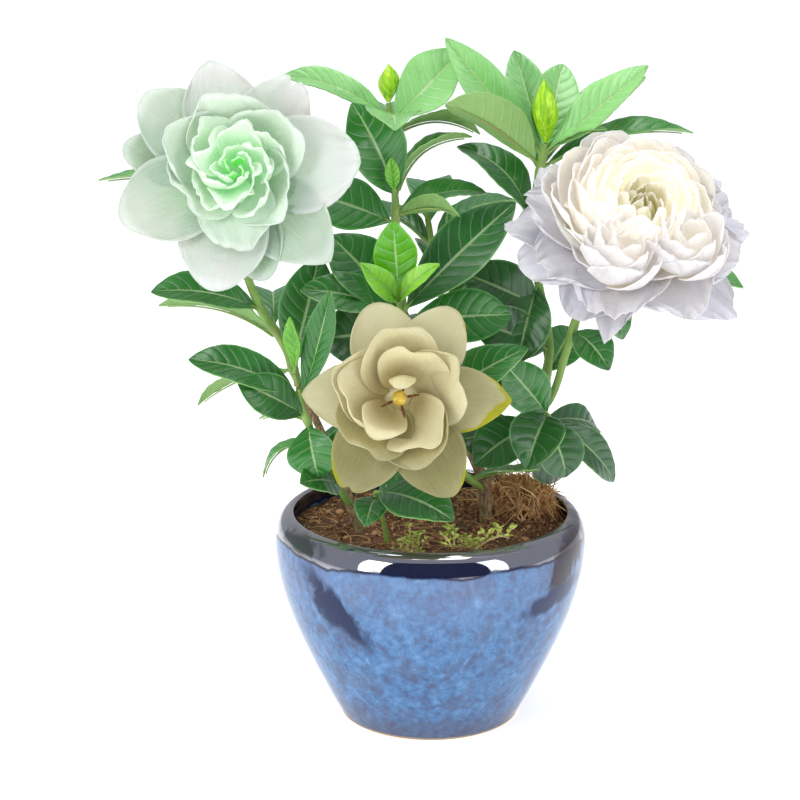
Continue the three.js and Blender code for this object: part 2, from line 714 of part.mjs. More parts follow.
const SOIL_SIDES = 28;
const SOIL_RINGS = [1, 0.8, 0.55, 0.3, 0];
const SOIL_RIM_RADIUS = innerRadiusAt(SOIL_RIM_HEIGHT + 6) - 3 * GAP;

// Soil from the given lower outline up to its surface, which may be raised
function soilBody(lower, raise) {
  const profile = lower.map((p) => new THREE.Vector2(...p));
  for (const share of SOIL_RINGS)
    profile.push(new THREE.Vector2(SOIL_RIM_RADIUS * share, SOIL_RIM_HEIGHT));
  const geometry = new THREE.LatheGeometry(profile, SOIL_SIDES).rotateX(Math.PI / 2);
  const position = geometry.getAttribute("position");
  for (let i = 0; i < position.count; i++) {
    if (Math.abs(position.getZ(i) - SOIL_RIM_HEIGHT) > 0.01) continue;
    position.setZ(i, soilHeight(position.getX(i), position.getY(i)) + raise);
  }
  return solidOf(geometry);
}

function soilSolid(holes) {
  const heights = [POT.floor + GAP, 26, 50, 72];
  const wall = heights.map((z) => [innerRadiusAt(z) - 3 * GAP, z]);
  const soil = soilBody([[0, heights[0]], ...wall], 0);
  return holes.reduce((body, hole) => body.subtract(hole), soil);
}

// All that lies under the soil's surface, with the clearance over it
function soilCutter() {
  const under = 40;
  return soilBody([[0, under], [SOIL_RIM_RADIUS, under]], GAP);
}

// A clump of coir: a low dome with strands standing out of it
const COIR_STRANDS = 9;
function coirSolid() {
  const draw = seeded(7);
  const centre = new THREE.Vector3(COIR.x, COIR.y, soilHeight(COIR.x, COIR.y));
  const dome = new THREE.SphereGeometry(1, 12, 6);
  dome.scale(COIR.radius, COIR.radius * 0.8, COIR.rise).translate(...centre);
  const solids = [solidOf(dome)];
  for (let i = 0; i < COIR_STRANDS; i++) {
    const turn = 2.4 * i;
    const rise = 0.25 + 1.1 * Math.sqrt((i + 0.5) / COIR_STRANDS);
    const root = new THREE.Vector3(
      Math.cos(turn) * Math.cos(rise) * COIR.radius * 0.9,
      Math.sin(turn) * Math.cos(rise) * COIR.radius * 0.72,
      Math.sin(rise) * COIR.rise * 0.9,
    ).add(centre);
    const run = new THREE.Vector3(Math.cos(turn + 1.3), Math.sin(turn + 1.3), 0.35 * draw());
    const far = root.clone().addScaledVector(run, 5 + 4 * draw());
    const middle = root.clone().lerp(far, 0.5).add(new THREE.Vector3(0, 0, 2.4));
    const points = [root, middle, far].map((p) => p.toArray());
    solids.push(stem({ points, radii: [0.7, 0.4] }, 0, 3));
  }
  return fuse(solids).subtract(soilCutter());
}

// Creeping moss sprigs at the front of the soil: thin stems with pairs of tiny leaves
const MOSS = {
  moss_sprig_right: {
    stems: [
      [[24, -46, 90], [19, -50, 95], [12, -53, 97], [6, -58, 99]],
      [[20, -45, 90], [15, -47, 95], [9, -48, 98], [4, -50, 97]],
      [[19, -50, 95], [24, -51, 99], [30, -50, 101], [34, -47, 99]],
    ],
    leafLength: 5,
  },
  moss_sprig_left: {
    stems: [
      [[-3, -50, 89], [-7, -52, 93], [-12, -52, 95], [-18, -50, 95]],
      [[-7, -52, 93], [-6, -48, 97], [-10, -45, 99]],
    ],
    leafLength: 4,
  },
};

const MOSS_PAIRS = 2; // pairs of leaves along each stem

function mossLeaf(base, run, side, length) {
  const reach = new THREE.Vector3(-run.y * side, run.x * side, 0.35).addScaledVector(run, 0.5);
  reach.normalize();
  const across = reach.clone().cross(v3(UP)).normalize();
  const facing = across.clone().cross(reach);
  const outline = [[0, 0], [0.55, -0.3], [1, 0], [0.55, 0.3]];
  return loft(
    [-0.4, 0.4].map((level) =>
      outline.map(([t, s]) =>
        base
          .clone()
          .addScaledVector(reach, t * length)
          .addScaledVector(across, s * length)
          .addScaledVector(facing, level),
      ),
    ),
  );
}

function mossSolid({ stems, leafLength }) {
  const solids = [];
  for (const points of stems) {
    const curve = stemCurve(points);
    solids.push(stem({ points, radii: [0.9, 0.6] }, 0, 3));
    for (let i = 1; i <= MOSS_PAIRS; i++)
      for (const side of [-1, 1]) {
        const place = (i - 0.2) / MOSS_PAIRS;
        solids.push(mossLeaf(curve.getPoint(place), curve.getTangent(place), side, leafLength));
      }
  }
  return fuse(solids).subtract(soilCutter());
}

// What shows in the front bloom's middle: a club-shaped pistil, and brown anthers round it.
// Both are given as radius and height over the bloom's foot.
const PISTIL_OUTLINE = [[0, 9.4], [1.6, 9.4], [1.5, 15], [3.1, 18], [3.1, 19.8], [1.9, 21], [0, 21]];
const COLLAR_OUTLINE = [[1.9, 12.4], [2.9, 12.4], [2.9, 13.8], [1.9, 13.8], [1.9, 12.4]];
const ANTHER_LINE = [[2.4, 13.1], [4.6, 14.6], [6.9, 14.8], [8.7, 13.8]];
const ANTHER_AZIMUTHS = [10, 68, 205, 285];

function turnedSolid(outline, sides) {
  const geometry = new THREE.LatheGeometry(outline.map((p) => new THREE.Vector2(...p)), sides);
  return solidOf(geometry.rotateX(Math.PI / 2).applyMatrix4(bloomFrame(BLOOMS.bloom_front)));
}

function anthersSolid() {
  const turned = bloomFrame(BLOOMS.bloom_front);
  const arms = ANTHER_AZIMUTHS.map((azimuth) => {
    const points = ANTHER_LINE.map(([out, up]) => {
      const point = new THREE.Vector3(out, 0, up).applyAxisAngle(v3(UP), radians(azimuth));
      return point.applyMatrix4(turned).toArray();
    });
    return stem({ points, radii: [0.7, 0.35] }, 0, 4);
  });
  return fuse([turnedSolid(COLLAR_OUTLINE, 8), ...arms]);
}

// Assembly
const group = new THREE.Group();
group.name = "potted_gardenia";
const add = (name, solid, colour, roughness) => group.add(meshOf(name, solid, colour, roughness));

const pot = solidOf(new THREE.LatheGeometry(potOutline(), POT_SIDES).rotateX(Math.PI / 2));
add("pot", pot, COLOURS.glaze, 0.1);

const holes = [TRUNK_RIGHT[0], TRUNK_LEFT[0]].map((trunk) => stem(trunk, GAP, TRUNK_SIDES));
holes.push(...[SHOOTS.sprout_front, SHOOTS.sprout_back].map((sprout) => stem(sprout, GAP)));
const soil = soilSolid(holes);
add("soil", soil, COLOURS.soil, 0.95);
add("coir_clump", coirSolid(), COLOURS.coir, 0.9);
for (const [name, sprig] of Object.entries(MOSS)) add(name, mossSolid(sprig), COLOURS.moss, 0.7);

const trunks = { trunk_right: TRUNK_RIGHT, trunk_left: TRUNK_LEFT };
for (const [name, arms] of Object.entries(trunks))
  add(name, fuse(arms.map((arm) => stem(arm, 0, TRUNK_SIDES))), COLOURS.bark, 0.85);
const clearOfBark = Object.values(trunks).flat().map((arm) => stem(arm, GAP, TRUNK_SIDES));

const bloomOn = {
  shoot_bloom_left: BLOOMS.bloom_left,
  shoot_bloom_right: BLOOMS.bloom_right,
  shoot_front: BLOOMS.bloom_front,
};
for (const [name, shoot] of Object.entries(SHOOTS)) {
  const solids = [stem(shoot), ...leavesOn(shoot)];
  if (bloomOn[name]) solids.push(...calyxSolids(bloomOn[name]));
  const cut = clearOfBark.reduce((body, bark) => body.subtract(bark), wasm.Manifold.union(solids));
  add(name, fuse([cut]), COLOURS.leaf, 0.4);
}
for (const [name, tuft] of Object.entries(YOUNG))
  add(name, fuse([stem(tuft), ...leavesOn(tuft)]), COLOURS.young, 0.4);
for (const [name, bud] of Object.entries(BUDS)) add(name, budSolid(bud), COLOURS.young, 0.5);
for (const [name, bloom] of Object.entries(BLOOMS)) add(name, bloomSolid(bloom), bloom.colour, 0.6);
add("bloom_front_pistil", turnedSolid(PISTIL_OUTLINE, 8), COLOURS.pistil, 0.5);
add("bloom_front_anthers", anthersSolid(), COLOURS.anther, 0.6);

export default group;
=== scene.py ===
"""A potted gardenia: a glazed bowl of soil, woody stems, glossy leaves and three double blooms."""

import math

import bpy
import bmesh
import numpy as np
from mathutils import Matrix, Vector, noise


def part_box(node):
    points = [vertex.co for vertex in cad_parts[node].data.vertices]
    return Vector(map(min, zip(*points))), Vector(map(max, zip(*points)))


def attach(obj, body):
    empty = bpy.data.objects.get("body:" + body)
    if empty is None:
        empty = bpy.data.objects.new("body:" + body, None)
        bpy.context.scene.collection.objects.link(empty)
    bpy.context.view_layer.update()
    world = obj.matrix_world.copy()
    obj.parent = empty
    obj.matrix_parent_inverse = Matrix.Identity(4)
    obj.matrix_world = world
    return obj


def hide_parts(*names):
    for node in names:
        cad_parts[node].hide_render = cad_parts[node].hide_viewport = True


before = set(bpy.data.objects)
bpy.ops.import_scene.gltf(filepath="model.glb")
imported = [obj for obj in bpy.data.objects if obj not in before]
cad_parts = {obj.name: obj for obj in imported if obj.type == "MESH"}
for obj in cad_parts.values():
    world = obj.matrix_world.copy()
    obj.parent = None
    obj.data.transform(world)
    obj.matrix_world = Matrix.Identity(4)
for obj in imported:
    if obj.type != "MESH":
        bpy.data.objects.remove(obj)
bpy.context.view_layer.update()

bl_info = {
    "name": "Potted Gardenia",
    "version": (1, 0, 0),
    "blender": (4, 5, 0),
    "location": "3D View > Sidebar > Gardenia",
    "description": "Grows a gardenia with three blooms in a glazed bowl pot",
    "category": "Add Mesh",
}

MM = 0.001
FULL_TURN = 6.28  # in radians
UP = (0, 0, 1)
FRONT = (0, -1, 0)
UP_FRONT = (0, -1, 1)
UP_BACK = (0, 1, 1)
STEEP_FRONT = (0, -1, 0.4)
FLAT_FRONT = (0, -0.5, 1)


def shade(code):
    """A colour from its six-digit code, as Blender's shaders want it."""
    parts = [(code >> shift & 255) / 255 for shift in (16, 8, 0)]
    return tuple(p / 12.92 if p <= 0.04045 else ((p + 0.055) / 1.055) ** 2.4 for p in parts)


# Woody stems, each with its arms. All the tables of places are in mm.
TRUNKS = {
  "trunk_right": [
    {"points": [[25, 0, 52], [26, 1, 75], [26, 1, 92], [25, 2, 112]], "radii": [3.6, 2.9]},
    {
      "points": [[25, 2, 110], [17, 10, 126], [5, 14, 148], [-6, 12, 172], [-12, 8, 188]],
      "radii": [2.6, 1.9],
    },
    {"points": [[25, 2, 110], [33, 8, 120], [44, 12, 133], [51, 13, 144]], "radii": [2.6, 2]},
  ],
  "trunk_left": [
    {"points": [[-30, -10, 52], [-31, -11, 75], [-33, -12, 92], [-37, -14, 104]], "radii": [2.6, 2]},
    {"points": [[-33, -12, 92], [-40, -6, 112], [-50, -2, 135], [-60, -4, 158]], "radii": [2, 1.7]},
  ],
}

# Green shoots: the stem, and its leaves as place along it, tip, width, arch, face and fold. The
# place counts the stem's points, the face is a direction and the fold is in degrees.
SHOOTS = {
  "shoot_crown_left": {
    "points": [
      [-12, 8, 188.4], [-14, 5, 205], [-16, 1, 222],
      [-16, 0, 240], [-18, 7, 262], [-19, 13, 283],
    ],
    "radii": [1.7, 1.1],
    "leaves": [
      [4.7, [-66, 14, 295], 17, 5, [0, -1, 1.5], 20],
      [3.1, [-35, -6, 285], 27, 6, [0.3, -1, 0.3], 10],
      [4.2, [-16, -36, 277], 25, 9, [0, 0.4, 1], 14],
      [4.6, [13, 10, 307], 27, -3, [-0.3, -1, 0.2], 24],
      [4.3, [22, 22, 268], 18, 7, [0, 0.3, 1], 20],
      [4.1, [-22, 56, 276], 21, 8, UP, 18],
      [3.1, [18, 12, 268], 18, 9, [-0.6, 0, 1], 22],
      [2.7, [12, -17, 237], 16, 5, UP_BACK, 14],
      [2.8, [25, 16, 242], 17, 5, FLAT_FRONT, 18],
      [2.5, [-50, 16, 240], 25, 6, STEEP_FRONT, 14],
    ],
  },
  "shoot_centre": {
    "points": [[-6, 12, 172], [-10, 0, 182], [-13, -12, 190], [-14, -20, 195]],
    "radii": [1.6, 1.2],
    "leaves": [
      [2.6, [37, -4, 241], 27, 4, [-0.2, -1, 0.5], 16],
      [2.2, [-45, -3, 226], 28, 4, [0.2, -1, 0.5], 15],
      [2.5, [-58, -16, 204], 21, 5, [0.1, -0.8, 0.8], 18],
      [1.6, [36, -4, 190], 25, 6, STEEP_FRONT, 14],
      [0.8, [-50, 0, 178], 30, 5, STEEP_FRONT, 14],
    ],
  },
  "shoot_crown_right": {
    "points": [
      [51, 13, 144.4], [55, 16, 172], [49, 20, 203],
      [45, 18, 228], [48, 11, 250], [51, 6, 266],
    ],
    "radii": [1.9, 1.2],
    "leaves": [
      [4.6, [6, 6, 312], 20, -2, [-0.5, -0.8, 0.8], 22],
      [4.6, [38, 36, 304], 19, 3, STEEP_FRONT, 20],
      [4.7, [60, 36, 298], 22, 2, [0, -1, 0.3], 12],
      [4.5, [98, 38, 292], 20, 6, FLAT_FRONT, 15],
      [4.7, [94, -4, 301], 20, -1, [-0.3, -0.9, 0.7], 24],
      [4.3, [6, -18, 286], 28, 5, [-0.3, 0.5, 1], 28],
      [4.2, [119, 26, 268], 20, 8, [0, -0.2, 1], 20],
      [4.6, [77, -2, 273], 11, 4, [0, -0.3, 1], 20],
      [0.5, [66, 32, 176], 20, 3, [0, -1, 0.2], 10],
      [3, [12, 24, 262], 22, 10, [0.5, -0.6, 0.6], 14],
      [4, [58, 62, 262], 22, 8, UP, 18],
      [3.4, [92, 50, 240], 22, 8, UP, 18],
      [1.5, [14, 14, 206], 26, 4, STEEP_FRONT, 14],
      [0.9, [18, 4, 186], 25, 4, STEEP_FRONT, 12],
      [0.4, [14, 8, 158], 24, 4, STEEP_FRONT, 12],
      [1.9, [40, 4, 166], 24, 4, [-0.2, -1, 0.4], 14],
    ],
  },
  "shoot_bloom_right": {
    "points": [
      [44, 12, 133], [56, 7, 150], [63, 6, 175],
      [71, 5, 200], [81, -4, 212], [84.4, -17.7, 221.3],
    ],
    "radii": [1.7, 2.2],
    "leaves": [
      [2.2, [80, -10, 166], 18, 5, UP_FRONT, 12],
      [3, [87, 0, 178], 20, 5, FLAT_FRONT, 15],
      [4, [140, -2, 202], 22, 6, FLAT_FRONT, 18],
    ],
  },
  "shoot_low_right": {
    "points": [[40, 11, 129], [48, 4, 136], [54, 0, 142]],
    "radii": [1.6, 1.3],
    "leaves": [
      [2, [43, -24, 124], 27, 7, [-0.2, -1, 0.5], 22],
      [1.8, [86, 12, 107], 18, 6, [0.3, -1, 0.8], 12],
      [1.5, [62, -4, 114], 24, 6, [0.2, -1, 0.7], 12],
      [1.3, [80, 32, 126], 17, 6, UP_FRONT, 12],
      [1.2, [20, -8, 121], 25, 6, [-0.3, -1, 0.6], 15],
      [2, [32, -10, 170], 22, 3, STEEP_FRONT, 12],
      [0.5, [62, 16, 108], 23, 5, STEEP_FRONT, 12],
      [0.4, [12, 2, 130], 23, 5, STEEP_FRONT, 12],
    ],
  },
  "shoot_front": {
    "points": [[25, 2, 106], [16, -8, 116], [5, -18, 132], [-7, -26, 148], [-13.9, -40.8, 161]],
    "radii": [1.6, 2.2],
    "leaves": [
      [3, [42, -30, 181], 22, 5, [-0.1, -0.9, 0.8], 15],
      [1.9, [-12, -4, 118], 14, 3, UP, 12],
      [0.8, [49, -16, 121], 12, 2, UP, 10],
    ],
  },
  "sprout_front": {
    "points": [[-18, -25, 62], [-20, -27, 92], [-23, -31, 107], [-25, -34, 116]],
    "radii": [1.3, 1],
    "leaves": [
      [3, [9, -62, 112], 25, 5, [-0.2, -0.5, 1], 10],
      [2.6, [-29, -52, 106], 15, 4, FLAT_FRONT, 10],
      [2.8, [-4, -34, 122], 14, 3, FLAT_FRONT, 12],
    ],
  },
  "shoot_left": {
    "points": [
      [-37.4, -14.2, 104.6], [-42, -18, 114], [-49, -22, 130], [-56, -26, 149], [-59, -27, 162],
    ],
    "radii": [1.7, 1.2],
    "leaves": [
      [3.7, [-107, -27, 175], 20, 7, UP_FRONT, 20],
      [3, [-85, -38, 168], 20, 3, [-0.2, -0.9, 0.6], 14],
      [3.5, [-44, -37, 208], 14, -3, [-0.3, -1, 0], 14],
      [2.9, [-77, -20, 146], 9, 3, UP, 15],
      [2.4, [-76, -14, 117], 9, 6, [-0.3, -0.3, 1], 15],
      [2.8, [-50, -31, 122], 23, 4, [-0.2, -1, 0.5], 12],
      [1, [-58, -40, 122], 20, 3, [0, -0.8, 0.8], 10],
      [1.6, [-30, -30, 148], 16, 2, STEEP_FRONT, 12],
    ],
  },
  "shoot_bloom_left": {
    "points": [
      [-60, -4, 158.4], [-67, -5, 178], [-76, -5, 192],
      [-84, 1, 212], [-88, 0, 240], [-84.4, -14.2, 253.3],
    ],
    "radii": [1.7, 2.2],
    "leaves": [
      [2, [-124, -16, 203], 21, 6, [0, -0.7, 0.9], 18],
      [1, [-123, 2, 193], 22, 7, [0, 0.6, 1], 15],
      [0.3, [-107, 8, 145], 16, 5, [0, 0.3, 1], 18],
      [0.4, [-50, -4, 217], 26, 3, [0.1, -1, 0.3], 12],
      [4.4, [-146, -12, 252], 15, 4, UP, 16],
      [3.2, [-122, 8, 228], 16, 5, UP, 16],
      [3.6, [-92, 46, 236], 22, 8, UP, 18],
      [1.4, [-74, 38, 190], 22, 8, UP, 18],
    ],
  },
  "shoot_back": {
    "points": [[5, 14, 148], [7, 24, 164], [6, 33, 185], [2, 37, 208], [-2, 38, 232]],
    "radii": [1.8, 1.2],
    "leaves": [
      [2, [46, 52, 196], 23, 8, UP, 18],
      [2.6, [4, 84, 204], 23, 8, UP, 18],
      [3.2, [42, 52, 232], 23, 8, UP, 18],
      [3.2, [-40, 58, 226], 23, 8, UP, 18],
      [3.6, [0, 84, 236], 23, 8, UP, 18],
      [1.1, [-30, 62, 166], 22, 8, UP, 18],
    ],
  },
  "sprout_back": {
    "points": [[-6, 28, 62], [-6, 29, 92], [-10, 33, 115], [-12, 36, 134]],
    "radii": [1.8, 1.2],
    "leaves": [
      [3, [-56, 46, 142], 22, 7, UP, 18],
      [3, [34, 58, 140], 22, 7, UP, 18],
      [2.6, [-12, 82, 134], 22, 7, UP, 18],
      [2.2, [-52, 28, 122], 20, 6, UP, 18],
      [2.2, [28, 52, 116], 20, 6, UP, 18],
    ],
  },
}

# Lime green leaves that have just opened
YOUNG = {
  "young_leaves_centre": {
    "points": [[-14.2, -20.8, 195.6], [-14.4, -22.6, 198], [-14.5, -23.4, 201]],
    "radii": [1.2, 0.9],
    "leaves": [
      [2, [-17, -34, 238], 20, -3, FRONT, 16],
      [1.4, [-31, -42, 221], 12, 2, [0.4, -1, 0.2], 26],
      [1.4, [3, -34, 219], 10, 4, [-0.6, -1, 0.6], 24],
    ],
  },
  "young_leaf_left": {
    "points": [[-59.6, -27.6, 163.4], [-60, -28.4, 166.4], [-60.5, -29, 169]],
    "radii": [1.2, 0.9],
    "leaves": [[2, [-62, -31, 195], 10, -2, [-0.8, -1, 0], 24]],
  },
  "young_leaf_crown": {
    "points": [[-16, -1.8, 239], [-16.3, -5.4, 241.5], [-16.6, -8.4, 247]],
    "radii": [1, 0.8],
    "leaves": [
      [2, [-18, -12, 262], 7, 1, FRONT, 22],
    ],
  },
}

# How light each leaf is, from 0 to 1
TONES = {
    "shoot_crown_left": (0.9, 0.35, 0.75, 1.0, 0.55, 0.6, 0.6, 0.5, 0.45, 0.4),
    "shoot_centre": (0.2, 0.28, 0.3, 0.4, 0.08),
    "shoot_crown_right": (
        1.0, 0.75, 0.85, 0.85, 1.0, 0.8, 0.55, 0.9, 0.25, 0.3, 0.45, 0.5, 0.1, 0.05, 0.08, 0.15,
    ),
    "shoot_bloom_right": (0.3, 0.35, 0.6),
    "shoot_low_right": (0.2, 0.1, 0.1, 0.15, 0.2, 0.3, 0.06, 0.05),
    "shoot_front": (0.4, 0.3, 0.8),
    "sprout_front": (0.25, 0.2, 0.2),
    "shoot_left": (0.3, 0.22, 0.35, 0.6, 0.55, 0.35, 0.3, 0.3),
    "shoot_bloom_left": (0.35, 0.3, 0.55, 0.3, 0.6, 0.4, 0.4, 0.4),
    "shoot_back": (0.2, 0.25, 0.3, 0.3, 0.35, 0.2),
    "sprout_back": (0.2, 0.2, 0.2, 0.2, 0.2),
    "young_leaves_centre": (0.5, 0.6, 0.7),
    "young_leaf_left": (0.6,),
    "young_leaf_crown": (0.6,),
}

# Creeping moss sprigs: their stems and the length of a leaf
MOSS = {
  "moss_sprig_right": {
    "stems": [
      [[24, -46, 90], [19, -50, 95], [12, -53, 97], [6, -58, 99]],
      [[20, -45, 90], [15, -47, 95], [9, -48, 98], [4, -50, 97]],
      [[19, -50, 95], [24, -51, 99], [30, -50, 101], [34, -47, 99]],
    ],
    "leafLength": 5,
  },
  "moss_sprig_left": {
    "stems": [
      [[-3, -50, 89], [-7, -52, 93], [-12, -52, 95], [-18, -50, 95]],
      [[-7, -52, 93], [-6, -48, 97], [-10, -45, 99]],
    ],
    "leafLength": 4,
  },
}


def colour_property(name, description, code):
    return bpy.props.FloatVectorProperty(
        name=name, description=description, default=shade(code), size=3, min=0, max=1,
        subtype="COLOR",
    )


def length_property(name, description, millimetres):
    return bpy.props.FloatProperty(
        name=name, description=description, default=millimetres * MM, min=0,
        subtype="DISTANCE", unit="LENGTH",
    )


class GardeniaSizes(bpy.types.PropertyGroup):
    """Sizes that a user may change."""

    leaf_blade: length_property("Leaf thickness", "Thickness of a leaf blade", 0.5)
    petal_sheet: length_property("Petal thickness", "Thickness of a petal", 0.45)
    quilting: length_property("Leaf quilting", "How far a leaf swells up between its side veins", 0.38)
    crumb: length_property("Soil crumb", "Radius of a usual crumb of soil", 1)
    pot_height: bpy.props.FloatProperty(
        name="Pot height", description="Height of the pot's lip over the floor",
        default=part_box("pot")[1][2], subtype="DISTANCE", unit="LENGTH",
    )
    crumbs: bpy.props.IntProperty(
        name="Crumbs", description="How many loose crumbs lie on the soil", default=3600, min=0
    )
    fibres: bpy.props.IntProperty(
        name="Fibres", description="How many strands of coir the clump has", default=760, min=0
    )


class GardeniaColours(bpy.types.PropertyGroup):
    """Colours that a user may change."""

    # Partly the glaze's own navy and partly a painted reflection on the shoulder
    night_glaze_and_reflection: colour_property("Glaze, dark", "Navy glaze on the shoulder and lip", 0x171E3C)
    glaze_blue: colour_property("Glaze, blue", "Main blue of the belly", 0x3F6E9C)
    glaze_sky: colour_property("Glaze, pale", "Pale blue where the glaze runs thin", 0x7CA6CC)
    glaze_plum: colour_property("Glaze, plum", "Brownish plum speckle in the belly", 0x4A4152)
    clay: colour_property("Clay", "Bare clay at the foot", 0xA78F72)
    soil: colour_property("Soil", "Moist potting soil", 0x5C4430)
    soil_pale: colour_property("Soil crumb", "Tan and reddish crumbs", 0xC89C6C)
    coir: colour_property("Coir", "Orange brown fibres", 0xDCA86E)
    moss: colour_property("Moss", "Yellow green sprigs", 0xB2C052)
    moss_stem: colour_property("Moss stem", "Pale twiggy stems of the sprigs", 0xCDB67A)
    bark: colour_property("Bark", "Woody stems", 0xA2845E)
    green_stem: colour_property("Green stem", "Young shoots", 0x7FA24C)
    leaf_dark: colour_property("Leaf, dark", "Old glossy leaves", 0x0E3F18)
    leaf_mid: colour_property("Leaf, middle", "Grown leaves", 0x2C8226)
    leaf_light: colour_property("Leaf, light", "Leaves at the crown", 0x90D07A)
    leaf_under: colour_property("Leaf underside", "Pale matte underside", 0x86B061)
    young: colour_property("Young leaf", "Leaves that have just opened", 0x50A608)
    pale_petal: colour_property("Pale petal", "Outer petals of the left bloom", 0xD8D3D0)
    mint: colour_property("Mint", "Green depth of the left bloom", 0xC0E8BE)
    ivory_petal: colour_property("Ivory petal", "Petals of the right bloom", 0xECE7D6)
    # Partly the right bloom's own cream at the petals' feet and partly painted shade between its petals
    ivory_base_and_shade: colour_property("Ivory depth", "Creamy yellow between the right bloom's petals", 0xEAD890)
    cream_petal: colour_property("Cream petal", "Petals of the front bloom", 0xCCC49A)
    stain: colour_property("Stain", "Yellow olive margins of the front bloom", 0x92900F)
    pistil: colour_property("Pistil", "Club-shaped pistil", 0xC0A02C)
    anther: colour_property("Anther", "Brown anthers", 0x5E340E)


def opaque(colour):
    return (*colour, 1)


# Shader maths


class Value:
    """A number on its way through a finish. Arithmetic on it adds Math nodes."""

    def __init__(self, finish, socket):
        self.finish = finish
        self.socket = socket

    def also(self, output):
        """Another output of the node that this value comes from."""
        return Value(self.finish, self.socket.node.outputs[output])

    def math(self, operation, *terms):
        return self.finish.add("ShaderNodeMath", {"operation": operation}, dict(enumerate(terms)))

    def __add__(self, other):
        return self.math("ADD", self, other)

    def __sub__(self, other):
        return self.math("SUBTRACT", self, other)

    def __rsub__(self, other):
        return self.math("SUBTRACT", other, self)

    def __mul__(self, other):
        return self.math("MULTIPLY", self, other)

    def __pow__(self, other):
        return self.math("POWER", self, other)

    def __abs__(self):
        return self.math("ABSOLUTE", self)

    def over(self, limit):
        return self.math("GREATER_THAN", self, limit)

    def or_more(self, other):
        """The larger of two values."""
        return self.math("MAXIMUM", self, other)

    def at_most(self, limit):
        return self.math("MINIMUM", self, limit)

    def fraction(self):
        return self.math("FRACT", self)

    def between(self, low, high):
        """Rises smoothly from 0 at low to 1 at high."""
        sockets = {"Value": self, "From Min": low, "From Max": high}
        return self.finish.add("ShaderNodeMapRange", {"interpolation_type": "SMOOTHSTEP"}, sockets)

    __radd__ = __add__
    __rmul__ = __mul__


class Finish:
    """A material, built up node by node."""

    def __init__(self, name):
        self.material = bpy.data.materials.new(name)
        self.material.use_nodes = True
        self.tree = self.material.node_tree
        self.tree.nodes.clear()

    def add(self, kind, settings=None, sockets=None, out=0):
        node = self.tree.nodes.new(kind)
        for key, value in (settings or {}).items():
            if key == "stops":
                self.set_stops(node.color_ramp, value)
            else:
                setattr(node, key, value)
        for key, value in (sockets or {}).items():
            if isinstance(value, Value):
                self.tree.links.new(value.socket, node.inputs[key])
            else:
                node.inputs[key].default_value = value
        return Value(self, node.outputs[out]) if len(node.outputs) else None

    @staticmethod
    def set_stops(ramp, stops):
        while len(ramp.elements) < len(stops):
            ramp.elements.new(0.5)
        for element, (position, colour) in zip(ramp.elements, stops):
            element.position = position
            element.color = opaque(colour)

    def place(self):
        """Where a point lies in the object's frame, in metres."""
        return self.add("ShaderNodeTexCoord", out="Object")

    def sheet(self):
        """A point's place across, from -1 to 1, and along a blade or petal, from 0 to 1."""
        uv = self.add("ShaderNodeUVMap", {"uv_map": "UVMap"})
        across = self.add("ShaderNodeSeparateXYZ", None, {0: uv})
        return across * 2 - 1, across.also("Y")

    def kept(self):
        """The four numbers that a mesh keeps at each of its points."""
        colour = self.add("ShaderNodeAttribute", {"attribute_name": "kept"}, out="Color")
        red = self.add("ShaderNodeSeparateColor", None, {0: colour})
        return red, red.also("Green"), red.also("Blue"), colour.also("Alpha")

    def stretched(self, x, y, z):
        """A point's place, with each direction scaled on its own."""
        sockets = {0: self.place(), 1: (x, y, z)}
        return self.add("ShaderNodeVectorMath", {"operation": "MULTIPLY"}, sockets)

    def vector(self, x, y, z):
        return self.add("ShaderNodeCombineXYZ", None, {0: x, 1: y, 2: z})

    def noise(self, scale, vector=None, detail=3, distortion=0):
        sockets = {"Vector": vector or self.place(), "Scale": scale, "Detail": detail}
        return self.add("ShaderNodeTexNoise", None, {**sockets, "Distortion": distortion})

    def cells(self, scale, vector=None, feature="F1"):
        sockets = {"Vector": vector or self.place(), "Scale": scale}
        return self.add("ShaderNodeTexVoronoi", {"feature": feature}, sockets)

    def ramp(self, factor, *stops):
        return self.add("ShaderNodeValToRGB", {"stops": stops}, {0: factor})

    def mix(self, factor, first, second):
        """A colour between two others, each a value or a constant."""
        first, second = (c if isinstance(c, Value) else opaque(c) for c in (first, second))
        return self.add("ShaderNodeMix", {"data_type": "RGBA"}, {0: factor, 6: first, 7: second}, out=2)

    def bump(self, height, millimetres, strength, under=None):
        """Relief of a given height, on top of any relief under it."""
        sockets = {"Height": height, "Distance": millimetres * MM, "Strength": strength}
        if under:
            sockets["Normal"] = under
        return self.add("ShaderNodeBump", None, sockets)

    def surface(self, colour, roughness, normal, **others):
        """The finished material. The other sockets go by their names in small letters."""
        names = {"Base Color": colour, "Roughness": roughness, "Normal": normal}
        for key, value in others.items():
            names[key.replace("_", " ").title().replace("Ior", "IOR")] = value
        shader = self.add("ShaderNodeBsdfPrincipled", None, names)
        self.add("ShaderNodeOutputMaterial", None, {"Surface": shader})
        return self.material


# Selecting, copying and joining


def deselect():
    if bpy.context.object and bpy.context.object.mode != "OBJECT":
        bpy.ops.object.mode_set(mode="OBJECT")
    bpy.ops.object.select_all(action="DESELECT")


def activate(obj):
    deselect()
    obj.select_set(True)
    bpy.context.view_layer.objects.active = obj


def join(name, parts):
    activate(parts[0])
    for part in parts:
        part.select_set(True)
    if len(parts) > 1:
        bpy.ops.object.join()
    piece = bpy.context.object
    piece.name = name
    piece.data.name = name
    return piece


def apply_modifier(piece, kind, **settings):
    activate(piece)
    modifier = piece.modifiers.new(kind.title(), kind)
    for key, value in settings.items():
        setattr(modifier, key, value)
    bpy.ops.object.modifier_apply(modifier=modifier.name)


def smooth(piece, degrees=60):
    activate(piece)
    bpy.ops.object.shade_smooth_by_angle(angle=math.radians(degrees))


